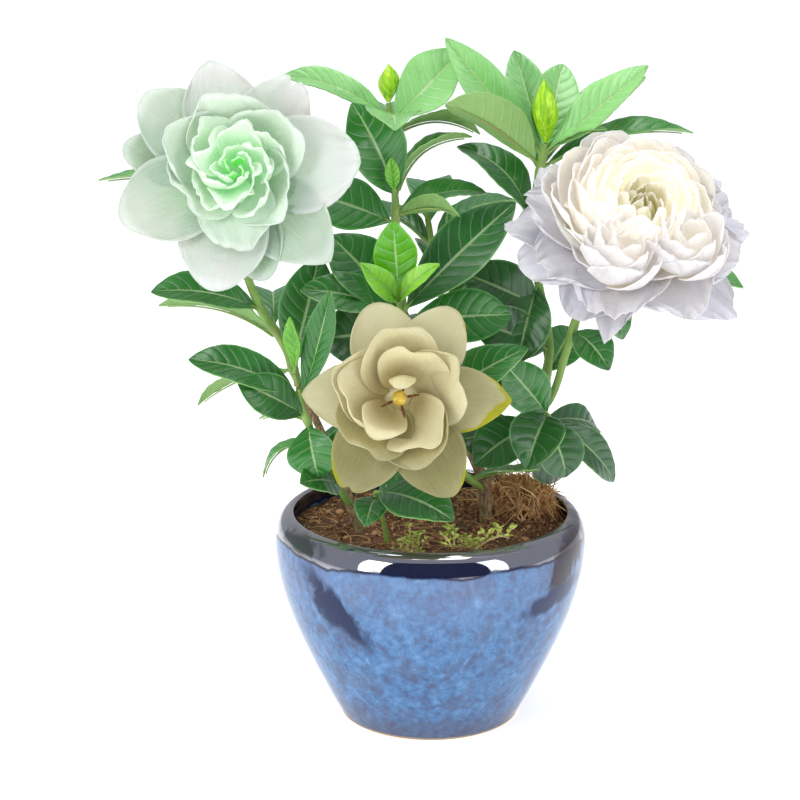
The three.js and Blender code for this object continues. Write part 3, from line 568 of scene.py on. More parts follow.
def close_up(piece):
    """Merges doubles and turns all faces outwards."""
    activate(piece)
    bpy.ops.object.mode_set(mode="EDIT")
    bpy.ops.mesh.select_all(action="SELECT")
    bpy.ops.mesh.remove_doubles(threshold=1e-6)
    bpy.ops.mesh.normals_make_consistent(inside=False)
    bpy.ops.object.mode_set(mode="OBJECT")


def settle(piece, slot, *nodes):
    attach(piece, "root")
    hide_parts(*nodes)


def discard(*templates):
    for template in templates:
        bpy.data.meshes.remove(template.data)


def seeded(seed):
    """A repeatable stream of numbers from 0 to 1."""
    state = seed
    while True:
        state = (state * 1664525 + 1013904223) % 4294967296
        yield state / 4294967296


def flat_sheet(name, columns, rows):
    """A flat grid, 2 by 2, that leaves and petals are shaped from."""
    deselect()
    bpy.ops.mesh.primitive_grid_add(x_subdivisions=columns, y_subdivisions=rows, size=2)
    sheet = bpy.context.object
    sheet.name = name
    return sheet


def straight_rod(name, sides, lengths):
    """A rod of radius 1 from 0 to 1 up the Z axis that stems and fibres are shaped from."""
    deselect()
    bpy.ops.mesh.primitive_cylinder_add(
        vertices=sides, radius=1, depth=1, end_fill_type="TRIFAN", location=(0, 0, 0.5)
    )
    rod = bpy.context.object
    rod.name = name
    bpy.ops.object.transform_apply(location=True, rotation=False, scale=False)
    bpy.ops.object.mode_set(mode="EDIT")
    bpy.ops.mesh.select_mode(type="EDGE")
    bpy.ops.mesh.select_all(action="DESELECT")
    mesh = bmesh.from_edit_mesh(rod.data)
    for edge in mesh.edges:
        edge.select_set(abs(edge.verts[0].co.z - edge.verts[1].co.z) > 0.5)
    bmesh.update_edit_mesh(rod.data)
    bpy.ops.mesh.subdivide(number_cuts=lengths - 1)
    bpy.ops.object.mode_set(mode="OBJECT")
    return rod


def crumb_stone(name, subdivisions):
    """A ball of radius 1 that crumbs are shaped from."""
    deselect()
    bpy.ops.mesh.primitive_ico_sphere_add(subdivisions=subdivisions, radius=1)
    stone = bpy.context.object
    stone.name = name
    return stone


def turned_piece(name, outline, sides):
    """A closed turned solid: a disc at the outline's first point, extruded ring by ring."""
    deselect()
    (radius, height), *rest = [(r * MM, z * MM) for r, z in outline]
    bpy.ops.mesh.primitive_circle_add(
        vertices=sides, radius=radius, fill_type="NGON", location=(0, 0, height)
    )
    piece = bpy.context.object
    piece.name = name
    bpy.ops.object.transform_apply(location=True, rotation=False, scale=False)
    bpy.ops.object.mode_set(mode="EDIT")
    bpy.ops.mesh.select_mode(type="FACE")
    bpy.ops.mesh.select_all(action="SELECT")
    for next_radius, next_height in rest:
        rise = (0, 0, next_height - height)
        bpy.ops.mesh.extrude_region_move(TRANSFORM_OT_translate={"value": rise})
        factor = next_radius / radius
        bpy.ops.transform.resize(value=(factor, factor, 1), center_override=(0, 0, next_height))
        radius, height = next_radius, next_height
    bpy.ops.object.mode_set(mode="OBJECT")
    close_up(piece)
    return piece


def points_of(mesh):
    points = np.empty(len(mesh.vertices) * 3)
    mesh.vertices.foreach_get("co", points)
    return points.reshape(-1, 3)


def put_points(mesh, points):
    mesh.vertices.foreach_set("co", np.ascontiguousarray(points).ravel())
    mesh.update()


def widen(mesh, factors):
    """Moves a mesh's points away from the Z axis, each by its own factor."""
    put_points(mesh, points_of(mesh) * np.stack([factors, factors, np.ones_like(factors)], axis=1))


def keep(mesh, values):
    """Keeps four numbers at each point of a mesh, for its finish to read."""
    layer = mesh.attributes.new("kept", "FLOAT_COLOR", "POINT")
    values = np.broadcast_to(np.asarray(values, dtype=float), (len(mesh.vertices), 4))
    layer.data.foreach_set("color", np.ascontiguousarray(values).ravel())


def shaped_copy(template, shape, kept, materials):
    """A copy of a template, with its own mesh, whose points are moved by a rule given in mm. The
    rule may also give the numbers to keep, point by point."""
    mesh = template.data.copy()
    points, values = shape(points_of(mesh)), kept
    if isinstance(points, tuple):
        points, values = points
    put_points(mesh, points * MM)
    keep(mesh, values)
    for material in materials:
        mesh.materials.append(material)
    copy = bpy.data.objects.new(template.name, mesh)
    bpy.context.scene.collection.objects.link(copy)
    return copy


# Directions and curves, in mm


def unit(vector):
    return vector / np.linalg.norm(vector, axis=-1, keepdims=True)


def lerp(a, b, t):
    return a + (b - a) * t


def rising(value, low, high):
    """Smooth step from 0 at low to 1 at high."""
    t = np.clip((value - low) / (high - low), 0, 1)
    return t * t * (3 - 2 * t)


def smooth_curve(points, places):
    """Points of a Catmull-Rom curve through the given points, at places from 0 to 1."""
    known = np.array(points, dtype=float)
    first, last = 2 * known[0] - known[1], 2 * known[-1] - known[-2]
    known = np.vstack([first, known, last])
    spans = len(known) - 3
    result = []
    for place in places:
        at = min(int(place * spans), spans - 1)
        t = place * spans - at
        a, b, c, d = known[at : at + 4]
        square, cube = 2 * a - 5 * b + 4 * c - d, 3 * b - a - 3 * c + d
        result.append(0.5 * (2 * b + (c - a) * t + square * t**2 + cube * t**3))
    return np.array(result)


def rod_shape(path, radii, roughness=0, knots=()):
    """A rule that bends a straight rod along a path. The radii are spread evenly along it, and a
    knot is a place from 0 to 1 with the share by which the rod swells there."""
    path = np.asarray(path, dtype=float)
    count = len(path)
    tangents = unit(np.gradient(path, axis=0))
    helper = (1, 0, 0) if abs(tangents[0][0]) < 0.8 else (0, 1, 0)
    normals = [unit(np.cross(tangents[0], helper))]
    for tangent in tangents[1:]:
        normals.append(unit(normals[-1] - tangent * np.dot(normals[-1], tangent)))
    normals = np.array(normals)
    binormals = np.cross(tangents, normals)
    radii = np.interp(np.linspace(0, 1, count), np.linspace(0, 1, len(radii)), radii)

    def at(values, t):
        places = np.linspace(0, 1, count)
        return np.stack([np.interp(t, places, values[:, i]) for i in range(3)], axis=1)

    def shape(points):
        t = points[:, 2]
        radius = np.interp(t, np.linspace(0, 1, count), radii)
        for knot, size in knots:
            radius = radius * (1 + size * np.exp(-(((t - knot) * 26) ** 2)))
        angle = np.arctan2(points[:, 1], points[:, 0])
        if roughness:
            around = zip(2 * np.cos(angle), 2 * np.sin(angle), 14 * t)
            radius = radius * (1 + roughness * np.array([noise.noise(Vector(p)) for p in around]))
        out = at(normals, t) * points[:, :1] + at(binormals, t) * points[:, 1:2]
        return at(path, t) + out * radius[:, None]

    return shape


# Leaves

LEAF_GRID = (12, 45)
LEAF_SWEEP = 0.17  # how far a side vein runs towards the tip on its way to the margin
VEIN_OFFSET = 0.35  # the veins of the two halves alternate
VEIN_SPACING = 5.2
VEIN_COUNTS = (6, 11)  # the fewest and the most side veins on each half
VEIN_UNIT = 16  # a leaf keeps its count of veins as a share of this
NODE_SWELLING = 0.22  # how far a stem swells where a leaf leaves it
STALK_PLACES = (0, 0.03, 0.07, 0.12)  # along the leaf's rib
STALK_RADII = (1.25, 0.95, 0.7)
KEEL_PLACES = np.linspace(0.08, 0.93, 9)
KEEL_RADII = (0.62, 0.5, 0.3)
KEEL_DEPTH = 0.95  # how far under the blade the middle of its keel runs
PLAIN_GREEN = (0.5, 0, 0, 1)
PALE_GREEN = (0.7, 0, 0, 1)


def leaf_half_width(width, t):
    """A pointed oval on a narrow stalk."""
    blade = np.clip((t - 0.06) / 0.94, 0, 1)
    swell = np.maximum(np.sin(np.pi * blade**1.1), 0) ** 0.75
    return np.maximum(width / 2 * swell, lerp(0.8, 0.35, t))


def leaf_rib(base, tip, arch, face):
    """The rib's three control points and the direction across it."""
    side = unit(np.cross(unit(tip - base), face))
    facing = np.cross(side, unit(tip - base))
    return (base, (base + tip) / 2 + facing * 2 * arch, tip), side


def rib_point(rib, t):
    base, control, tip = rib
    return (1 - t) ** 2 * base + 2 * t * (1 - t) * control + t**2 * tip


def leaf_shape(rib, side, width, fold, phase, veins, quilting):
    """A rule that lays a flat sheet along the rib, folded, waved and quilted between its veins."""
    base, control, tip = rib

    def shape(points):
        s, t = points[:, :1], (points[:, 1:2] + 1) / 2
        tangent = unit(2 * (1 - t) * (control - base) + 2 * t * (tip - control))
        normal = np.cross(side, tangent)
        half = leaf_half_width(width, t)
        wave = np.sin(2 * np.pi * 1.5 * t + phase + np.where(s < 0, 2, 0))
        off = np.abs(s)
        lateral = veins * (t - LEAF_SWEEP * off**1.3) + np.where(s > 0, VEIN_OFFSET, 0)
        ridge = np.abs(np.mod(lateral, 1) - 0.5) * 2
        swell = (1 - ridge**2.4) * (1 - off**5) * rising(off, 0, 0.22) * rising(t, 0.04, 0.14)
        swell = swell * rising(1 - t, 0.02, 0.12)
        groove = -0.2 * np.exp(-((off / 0.09) ** 2)) * rising(t, 0.03, 0.1)
        edge = 0.35 * off**4 * np.sin(2 * np.pi * lateral)
        relief = quilting * (swell + groove + edge)
        rise = off * half * (math.sin(fold) + 0.09 * wave) + relief
        across = s * half * math.cos(fold)
        return rib_point(rib, t) + side * across + normal * rise

    return shape


def foliage(name, points, radii, rows, lightness, templates, finishes, quilting):
    """A shoot's stem with its leaves, their stalks and the ribs that stand out under them."""
    sheet, stem_rod, thin_rod = templates
    upper, under, green = finishes
    last = len(points) - 1
    path = smooth_curve(points, np.linspace(0, 1, 6 * last + 1))
    knots = [(knot, NODE_SWELLING) for knot in sorted({row[0] / last for row in rows}) if knot < 0.97]
    blades = []
    stem = rod_shape(path, radii, roughness=0.08, knots=knots)
    rods = [shaped_copy(stem_rod, stem, PLAIN_GREEN, [green])]
    for i, (at, tip, width, arch, face, fold) in enumerate(rows):
        base = smooth_curve(points, [at / last])[0]
        rib, side = leaf_rib(base, np.array(tip, float), arch, np.array(face, float))
        length = np.linalg.norm(rib[2] - rib[0])
        veins = round(np.clip(length / VEIN_SPACING, *VEIN_COUNTS))
        shape = leaf_shape(rib, side, width, math.radians(fold), 1.9 * i, veins, quilting)
        kept = (lightness[i], (0.37 * i) % 1, veins / VEIN_UNIT, 1)
        blades.append(shaped_copy(sheet, shape, kept, [upper, under]))
        stalk = [rib_point(rib, t) for t in STALK_PLACES]
        rods.append(shaped_copy(thin_rod, rod_shape(stalk, STALK_RADII), PLAIN_GREEN, [green]))
        facing = np.cross(side, unit(rib[2] - rib[0]))
        keel = [rib_point(rib, t) - facing * KEEL_DEPTH for t in KEEL_PLACES]
        rods.append(shaped_copy(thin_rod, rod_shape(keel, KEEL_RADII), PALE_GREEN, [green]))
    leaves = join(name, blades)
    blade = bpy.context.scene.gardenia_sizes.leaf_blade
    apply_modifier(
        leaves, "SOLIDIFY", thickness=blade, offset=0, material_offset=1, material_offset_rim=1
    )
    return leaves, rods


def vein_ridges(s, t, veins, wobble):
    """1 on each side vein of a leaf, and 0 midway between two."""
    lateral = (t - abs(s) ** 1.3 * LEAF_SWEEP) * (veins * VEIN_UNIT) + s.over(0) * VEIN_OFFSET
    return abs((lateral + wobble).fraction() - 0.5) * 2


def leaf_finish(name, dark, middle, light, roughness):
    """Glossy upper side: sunken side veins, paler partly in their own colour and partly by a painted sheen
    along them, a pale midrib and quilting between the veins.
    """
    leaf = Finish(name)
    s, t = leaf.sheet()
    tone, chance, veins, _ = leaf.kept()
    off = abs(s)
    ridge = vein_ridges(s, t, veins, (leaf.noise(260, detail=2) - 0.5) * 0.22)
    vein = ridge.between(0.84, 0.99) * (1 - off.between(0.72, 1))
    rib = 1 - off.between(0.02, 0.075)
    mottle = leaf.noise(95, detail=4)
    level = tone + (mottle - 0.5) * 0.34 + (chance - 0.5) * 0.1 + (1 - ridge) * 0.06
    body = leaf.ramp(level, (0, dark), (0.5, middle), (1, light))
    # Pale side veins: partly their own colour and partly a painted sheen along them, stronger on lighter
    # leaves
    body = leaf.mix(vein * (tone * 0.55 + 0.03) * (mottle + 0.4), body, shade(0xCDEBBE))
    body = leaf.mix(rib * (tone * 0.4 + 0.4), body, shade(0xC4E0A0))
    body = leaf.mix(off.between(0.9, 1) * 0.35, body, light)
    net = leaf.cells(900, feature="DISTANCE_TO_EDGE").between(0, 0.12)
    fine = leaf.noise(1500, detail=2)
    swell = (1 - ridge**3) * (1 - off.between(0.8, 1)) * (1 - rib)
    relief = leaf.bump(swell - rib * 0.15, 0.4, 0.6)
    relief = leaf.bump(net * 0.6 + fine * 0.4, 0.09, 0.5, relief)
    rough = mottle * 0.2 + vein * 0.12 + roughness
    return leaf.surface(
        body, rough, relief, specular_ior_level=0.6, coat_weight=0.3, coat_roughness=0.14
    )


def underside_finish(name, colour, light):
    """Paler matte underside with raised veins."""
    leaf = Finish(name)
    s, t = leaf.sheet()
    tone, _, veins, _ = leaf.kept()
    vein = vein_ridges(s, t, veins, 0).between(0.7, 1) * (1 - abs(s).between(0.7, 1))
    mottle = leaf.noise(140, detail=4)
    body = leaf.mix(mottle * 0.5, colour, light)
    body = leaf.mix((1 - tone) * 0.45, body, shade(0x4F8A3C))
    body = leaf.mix(vein * mottle * 0.45, body, shade(0xB4D08C))
    relief = leaf.bump(vein, 0.25, 0.8)
    relief = leaf.bump(leaf.noise(1400, detail=2), 0.08, 0.5, relief)
    return leaf.surface(body, mottle * 0.1 + 0.5, relief)


def green_stem_finish(colours):
    """Green with pale streaks and patches where the wood begins."""
    stem = Finish("green_stem")
    tone, _, _, _ = stem.kept()
    streak = stem.noise(90, detail=4, distortion=0.6)
    ring = stem.noise(700, detail=2)
    level = streak * 0.7 + tone * 0.3
    colour = stem.ramp(
        level, (0.2, shade(0x4E7430)), (0.5, colours.green_stem), (0.8, shade(0xA4BC68))
    )
    colour = stem.mix(stem.noise(45).between(0.56, 0.74) * 0.5, colour, colours.bark)
    relief = stem.bump(ring * 0.5 + streak * 0.5, 0.3, 0.6)
    return stem.surface(colour, ring * 0.15 + 0.4, relief)


# Petals

USUAL_WHORL = {"waves": 5, "radius": 5, "beats": 5}
BROAD_PETAL = 30  # width from which a petal has the finer grid
BROAD_GRID = (22, 18)
SMALL_GRID = (14, 16)
PETAL_WIDEST = 0.66
PETAL_SAMPLES = 64
RECEPTACLE = [(0.9, 0), (1, 3.15), (0.85, 6.75), (0.45, 8.6), (0.05, 9)]  # its radii are shares


def petal_half_width(width, station):
    """Half an ellipse up to the widest place, and a blunt tip past it."""
    off = (station - PETAL_WIDEST) / PETAL_WIDEST
    lower = np.maximum(width / 2 * np.sqrt(np.clip(1 - off**2, 0, 1)), 1.2)
    past = (station - PETAL_WIDEST) / (1 - PETAL_WIDEST)
    upper = width / 2 * (1 - (1 - 0.62) * past**2)
    return np.where(station < PETAL_WIDEST, lower, upper)


def petal_shape(petal, frame_of_bloom, reach_of_bloom):
    """A petal on its whorl's bell. Besides the bell's own numbers it may have a peaked or
    notched tip, a cup across its width, a rim that curls and a fine frill along the rim."""
    foot, axes = frame_of_bloom
    tilt, centre = petal.get("tilt"), petal.get("centre", (0, 0, 0))
    opening, closing = (math.radians(a) for a in petal["open"])
    curl = math.radians(petal.get("curl", 0))
    azimuth_of_petal = petal["azimuth"]

    def shape(points):
        s, station = points[:, 0], (points[:, 1] + 1) / 2
        off = np.abs(s)
        t = station * (1 - 0.13 * off**2 * station)
        t = t * (1 + petal.get("peak", 0) * (1 - off) ** 1.5 * station**5)
        t = t * (1 - petal.get("notch", 0) * np.exp(-(((s - 0.1) / 0.16) ** 2)) * station**8)
        steps = np.linspace(0, 1.25, PETAL_SAMPLES)
        bend = lerp(opening, closing, steps) + curl * rising(steps, 0.7, 1.05)
        pace = petal["length"] * np.diff(steps, prepend=0)
        out = petal["radius"] + np.interp(t, steps, np.cumsum(np.sin(bend) * pace))
        up = petal["height"] + np.interp(t, steps, np.cumsum(np.cos(bend) * pace))
        slope = np.interp(t, steps, bend)
        half = petal_half_width(petal["width"], station)
        azimuth = azimuth_of_petal + s * half / np.maximum(out, 4)
        wave = np.sin(petal["waves"] * azimuth + petal["phase"])
        raised = petal["lift"] * s + petal["ruffle"] * t**2 * wave
        raised = raised + petal.get("cup", 0) * half * off**2 * t
        frill = petal.get("frill", 0)
        if frill:
            rim = np.maximum(rising(station, 0.55, 1), rising(off, 0.6, 1) * rising(station, 0.3, 0.7))
            beat = petal["beats"]
            crimp = np.sin(beat * s + 9 * petal["chance"])
            crimp = crimp + 0.6 * np.sin(2.3 * beat * s + 5 * petal["chance"])
            crimp = crimp + 0.7 * np.sin(1.4 * beat * station + 7 * petal["chance"]) * off
            raised = raised + frill * rim * crimp
        chance = FULL_TURN * petal["chance"]
        swell = np.sin(2.3 * s + 4.1 * t + chance) + 0.6 * np.sin(4.4 * s - 3.2 * t + 2.2 * chance)
        raised = raised + petal.get("warp", 0) * swell * t
        crease = petal.get("crease", 0)
        if crease:
            raised = raised - crease * np.exp(-((s / 0.13) ** 2)) * station * (1.2 - station)
        away = out - np.cos(slope) * raised
        rise = up + np.sin(slope) * raised
        local = np.stack([np.cos(azimuth) * away, np.sin(azimuth) * away, rise], axis=1)
        if tilt is not None:
            local = local @ tilt.T + np.array(centre)
        spread = np.clip(np.hypot(local[:, 0], local[:, 1]) / reach_of_bloom, 0, 1)
        kept = [spread] + [np.full_like(s, petal[key]) for key in ("order", "dim", "stain")]
        return foot + local @ axes, np.stack(kept, axis=1)

    return shape


def bloom_axes(bloom):
    """Where a bloom's foot is, and its three axes as rows."""
    z = unit(np.array(bloom["axis"], float))
    x = unit(np.cross(UP, z))
    return np.array(bloom["foot"], float), np.stack([x, np.cross(z, x), z])


def petals_of(whorls, draw, order_from, order_to, extra):
    """The petals of some whorls, each with the numbers of its whorl and its own. Whorls without
    rows are a little loose. The order rises from the outer whorls to the heart."""
    petals = []
    for index, whorl in enumerate(whorls):
        loose = 0 if "rows" in whorl else 1
        count = whorl.get("count", 0)
        evenly = [whorl.get("turn", 0) + 360 * i / count for i in range(count)]
        rows = whorl.get("rows") or [
            (azimuth, whorl["length"], whorl["width"], whorl["height"])
            for azimuth in whorl.get("azimuths", evenly)
        ]
        phase = FULL_TURN * next(draw)
        order = lerp(order_from, order_to, index / max(len(whorls) - 1, 1))
        for i, (azimuth, length, width, height) in enumerate(rows):
            petal = {**USUAL_WHORL, **whorl, **extra, "phase": phase, "order": order}
            petal["chance"] = (0.618 * (i + 3 * index)) % 1
            petal["azimuth"] = math.radians(azimuth + loose * 8 * (next(draw) - 0.5))
            petal["length"] = length * (1 + loose * 0.12 * (next(draw) - 0.5))
            petal["width"] = width * (1 + loose * 0.12 * (next(draw) - 0.5))
            petal["height"] = height
            petal["stain"] = whorl.get("stains", {}).get(i, 0)
            petal["dim"] = whorl.get("dims", {}).get(i, whorl.get("dim", 0))
            petal.update(whorl.get("own", {}).get(i, {}))
            petals.append(petal)
    return petals


def tilted(azimuth, angle):
    """A matrix that turns a small nest of petals away from the bloom's axis, towards an azimuth."""
    a, b = math.radians(azimuth), math.radians(angle)
    turn = np.array([[math.cos(a), -math.sin(a), 0], [math.sin(a), math.cos(a), 0], [0, 0, 1]])
    lean = np.array([[math.cos(b), 0, math.sin(b)], [0, 1, 0], [-math.sin(b), 0, math.cos(b)]])
    return turn @ lean @ turn.T


def bloom_piece(name, bloom, finish):
    """A bloom's petals and its receptacle as one mesh."""
    axes, reach = bloom_axes(bloom), bloom["reach"]
    draw = seeded(bloom["seed"])
    petals = petals_of(bloom["whorls"], draw, 0, 0.7, {})
    petals += petals_of(bloom["heart"], draw, 0.75, 1, {})
    for nest in bloom.get("nests", []):
        extra = {"tilt": tilted(nest["azimuth"], nest["angle"]), "centre": nest["centre"]}
        petals += petals_of(bloom["nest"], draw, 0.5, 0.8, extra)
    broad, small = (flat_sheet("petal", *grid) for grid in (BROAD_GRID, SMALL_GRID))
    parts = []
    for petal in petals:
        sheet = broad if petal["width"] > BROAD_PETAL else small
        parts.append(shaped_copy(sheet, petal_shape(petal, axes, reach), (0, 0, 0, 0), [finish]))
    discard(broad, small)
    piece = join(name, parts)
    thickness = bpy.context.scene.gardenia_sizes.petal_sheet
    apply_modifier(piece, "SOLIDIFY", thickness=thickness, offset=0)
    outline = [(bloom["core"] * share, height) for share, height in RECEPTACLE]
    receptacle = turned_piece("receptacle", outline, sides=32)
    place_on_bloom(receptacle, bloom)
    keep(receptacle.data, (0, 0.4, 0, 0))
    receptacle.data.materials.append(finish)
    piece = join(name, [piece, receptacle])
    smooth(piece)
    return piece


def place_on_bloom(part, bloom):
    """Stands a piece that was turned round the Z axis on the bloom's own axis."""
    foot, axes = bloom_axes(bloom)
    put_points(part.data, points_of(part.data) @ axes + foot * MM)


def petal_finish(name, tones, shares, rough, subsurface, painted_light_share, crinkle):
    """Petals take the depth's colour towards their feet and in the inner whorls, and have pale rims. The
    depth's colour is partly the petals' own tint and partly painted shade deep in the bloom, and each
    petal may be darkened further by a painted shade of its own. The petals also glow with painted light,
    more towards the heart, in place of the light that thin petals let through to the middle of the bloom."""
    petal = Finish(name)
    s, t = petal.sheet()
    _, order, dim, stain = petal.kept()
    cloud = petal.noise(55, detail=3)
    patch = petal.noise(24, detail=2)
    inward = order.between(0.02, 0.3) * shares["inner"]
    colour = petal.mix(inward, tones["outer"], tones["inner"])
    # Towards the feet, the depth's colour: partly the petals' own tint there and partly painted shade deep
    # in the bloom
    foot = (1 - t.between(0.08, 0.8)) * shares["depth"] * (cloud * 0.8 + 0.6)
    colour = petal.mix(foot.at_most(1), colour, tones["depth"])
    colour = petal.mix(patch.between(0.42, 0.6) * 0.5 * (1 - order), colour, tones["streak"])
    # Painted shade: each petal's own share of darkening towards the shade tone
    colour = petal.mix(dim * (cloud * 0.7 + 0.65), colour, tones["shade_and_edge_tone"])
    inmost = order.between(0.76, 0.98) * (1 - t.between(0.6, 1) * 0.3)
    colour = petal.mix(inmost, colour, tones["heart"])
    edge = (abs(s).between(0.84, 1) * t.between(0.3, 0.6)).or_more(t.between(0.86, 1))
    colour = petal.mix(edge * shares["rim"] * (cloud * 0.8 + 0.5), colour, tones["rim"])
    # A thin darker line along each petal's outline, in the same tone
    line = abs(s).or_more(t).between(0.955, 1) * (cloud * 0.9 + 0.1)
    colour = petal.mix(line * 0.55, colour, tones["shade_and_edge_tone"])
    grain = petal.noise(1, petal.vector(s * 26, t * 2.6, order * 9), detail=4)
    colour = petal.mix(grain.between(0.45, 0.7) * shares["streak"], colour, tones["streak"])
    blotch = petal.noise(260, detail=5)
    place = (s * stain).between(-0.1, 0.5) * t.between(0.5, 0.85) + t.between(0.88, 1) * 0.7
    close = abs(s).or_more(t * 1.04).between(0.8, 0.95)
    mark = place * close * (blotch * 1.1 + 0.35) * abs(stain).between(0, 0.6)
    colour = petal.mix(mark.between(0.25, 0.6), colour, bpy.context.scene.gardenia_colours.stain)
    relief = petal.bump(grain, 0.25, 0.5)
    relief = petal.bump(petal.noise(120, detail=4, distortion=0.6), crinkle, 0.5, relief)
    fold = petal.noise(1, petal.vector(s * 9, t * 5, order * 17), detail=5)
    relief = petal.bump(fold, crinkle, 0.4, relief)
    relief = petal.bump(petal.noise(1300, detail=2), 0.06, 0.5, relief)
    # Painted light: each petal glows in its own colour, more in the inner whorls, standing in for the
    # light let through thin petals
    painted_glow = petal.mix(order.between(0, 0.8) * (painted_light_share - 0.02) + 0.02, shade(0x000000), colour)
    return petal.surface(
        colour, blotch * 0.12 + rough, relief, subsurface_weight=subsurface,
        subsurface_radius=(1, 0.8, 0.55), subsurface_scale=0.006, specular_ior_level=0.3,
        emission_color=painted_glow, emission_strength=1,
    )


# Blooms: the core is the receptacle's radius, and the petals end at about the reach. Each whorl
# lies on one bell, and a row is a petal's azimuth, length, width and height. The first whorls are
# those of the solid model. The later ones, the heart's whorls and the nests of petals fill what
# the solid model leaves open.
# Some whorls and nests darken chosen petals, or all their petals, with painted shade, a share for each
BLOOM_LEFT = {
    "foot": (-84.4, -19.8, 255.3),
    "axis": (0, -0.94, 0.34),
    "seed": 11,
    "core": 10,
    "reach": 56,
    "whorls": [
        {
            "rows": (
                (5, 50, 46, 3.4), (56, 44, 34, 1.8), (103, 43.5, 36, 3), (141, 48, 36, 1.6),
                (168, 46, 27, 0.4), (205, 50, 41, 3.4), (260, 49, 42, 3), (285, 45, 27, 0.4),
                (316, 50.5, 37, 1.8),
            ),
            "open": (70, 86), "lift": 1.4, "ruffle": 1.2, "waves": 7,
            "frill": 0.3, "curl": 10, "cup": 0.06, "crease": 0.8, "warp": 1.1,
            "own": {
                0: {"frill": 0.9, "curl": -6, "beats": 8},
                1: {"notch": 0.09, "frill": 0.5},
                2: {"peak": 0.04, "frill": 0.4},
                5: {"cup": 0.2, "curl": -18},
                6: {"curl": 16},
                8: {"peak": 0.05},
            },
            "dims": {1: 0.1, 3: 0.5, 4: 0.75, 5: 0.45, 6: 0.1, 7: 0.85, 8: 0.6},
        },
        {
            "rows": (
                (100, 36, 46, 5.5), (45, 34, 42, 5.5), (155, 35, 44, 5.5), (208, 32, 42, 5.5),
                (330, 32, 42, 5.5), (274, 33, 38, 8),
            ),
            "open": (82, 12), "lift": 2.4, "ruffle": 0.8,
            "frill": 0.5, "beats": 6, "curl": 4, "warp": 1.8,
            "own": {5: {"open": (66, 78), "frill": 0.9, "curl": -14}, 1: {"curl": 24}},
        },
        {
            "count": 4, "turn": 50, "length": 27, "width": 32,
            "open": (74, -2), "lift": 2.2, "ruffle": 0.8, "height": 6.5,
            "frill": 0.7, "beats": 7, "curl": 6, "warp": 1.9,
        },
        {
            "azimuths": (20, 84, 150, 205, 262, 318), "length": 23, "width": 23,
            "open": (64, -8), "lift": 2, "ruffle": 0.9, "radius": 4, "height": 7.5,
            "frill": 0.6, "curl": 6, "warp": 2,
            "own": {1: {"length": 26}, 4: {"curl": 60, "length": 26}, 5: {"length": 19}},
        },
    ],
    "heart": [
        {
            "count": 4, "turn": 30, "length": 17, "width": 13,
            "open": (46, -16), "lift": 1.6, "ruffle": 0.5, "radius": 3, "height": 8,
            "frill": 0.5, "beats": 6, "warp": 0.6,
        },
        {
            "count": 4, "turn": 80, "length": 13, "width": 6,
            "open": (30, -20), "lift": 1.2, "ruffle": 0.3, "waves": 4, "radius": 2, "height": 8,
            "frill": 0.3,
        },
    ],
}
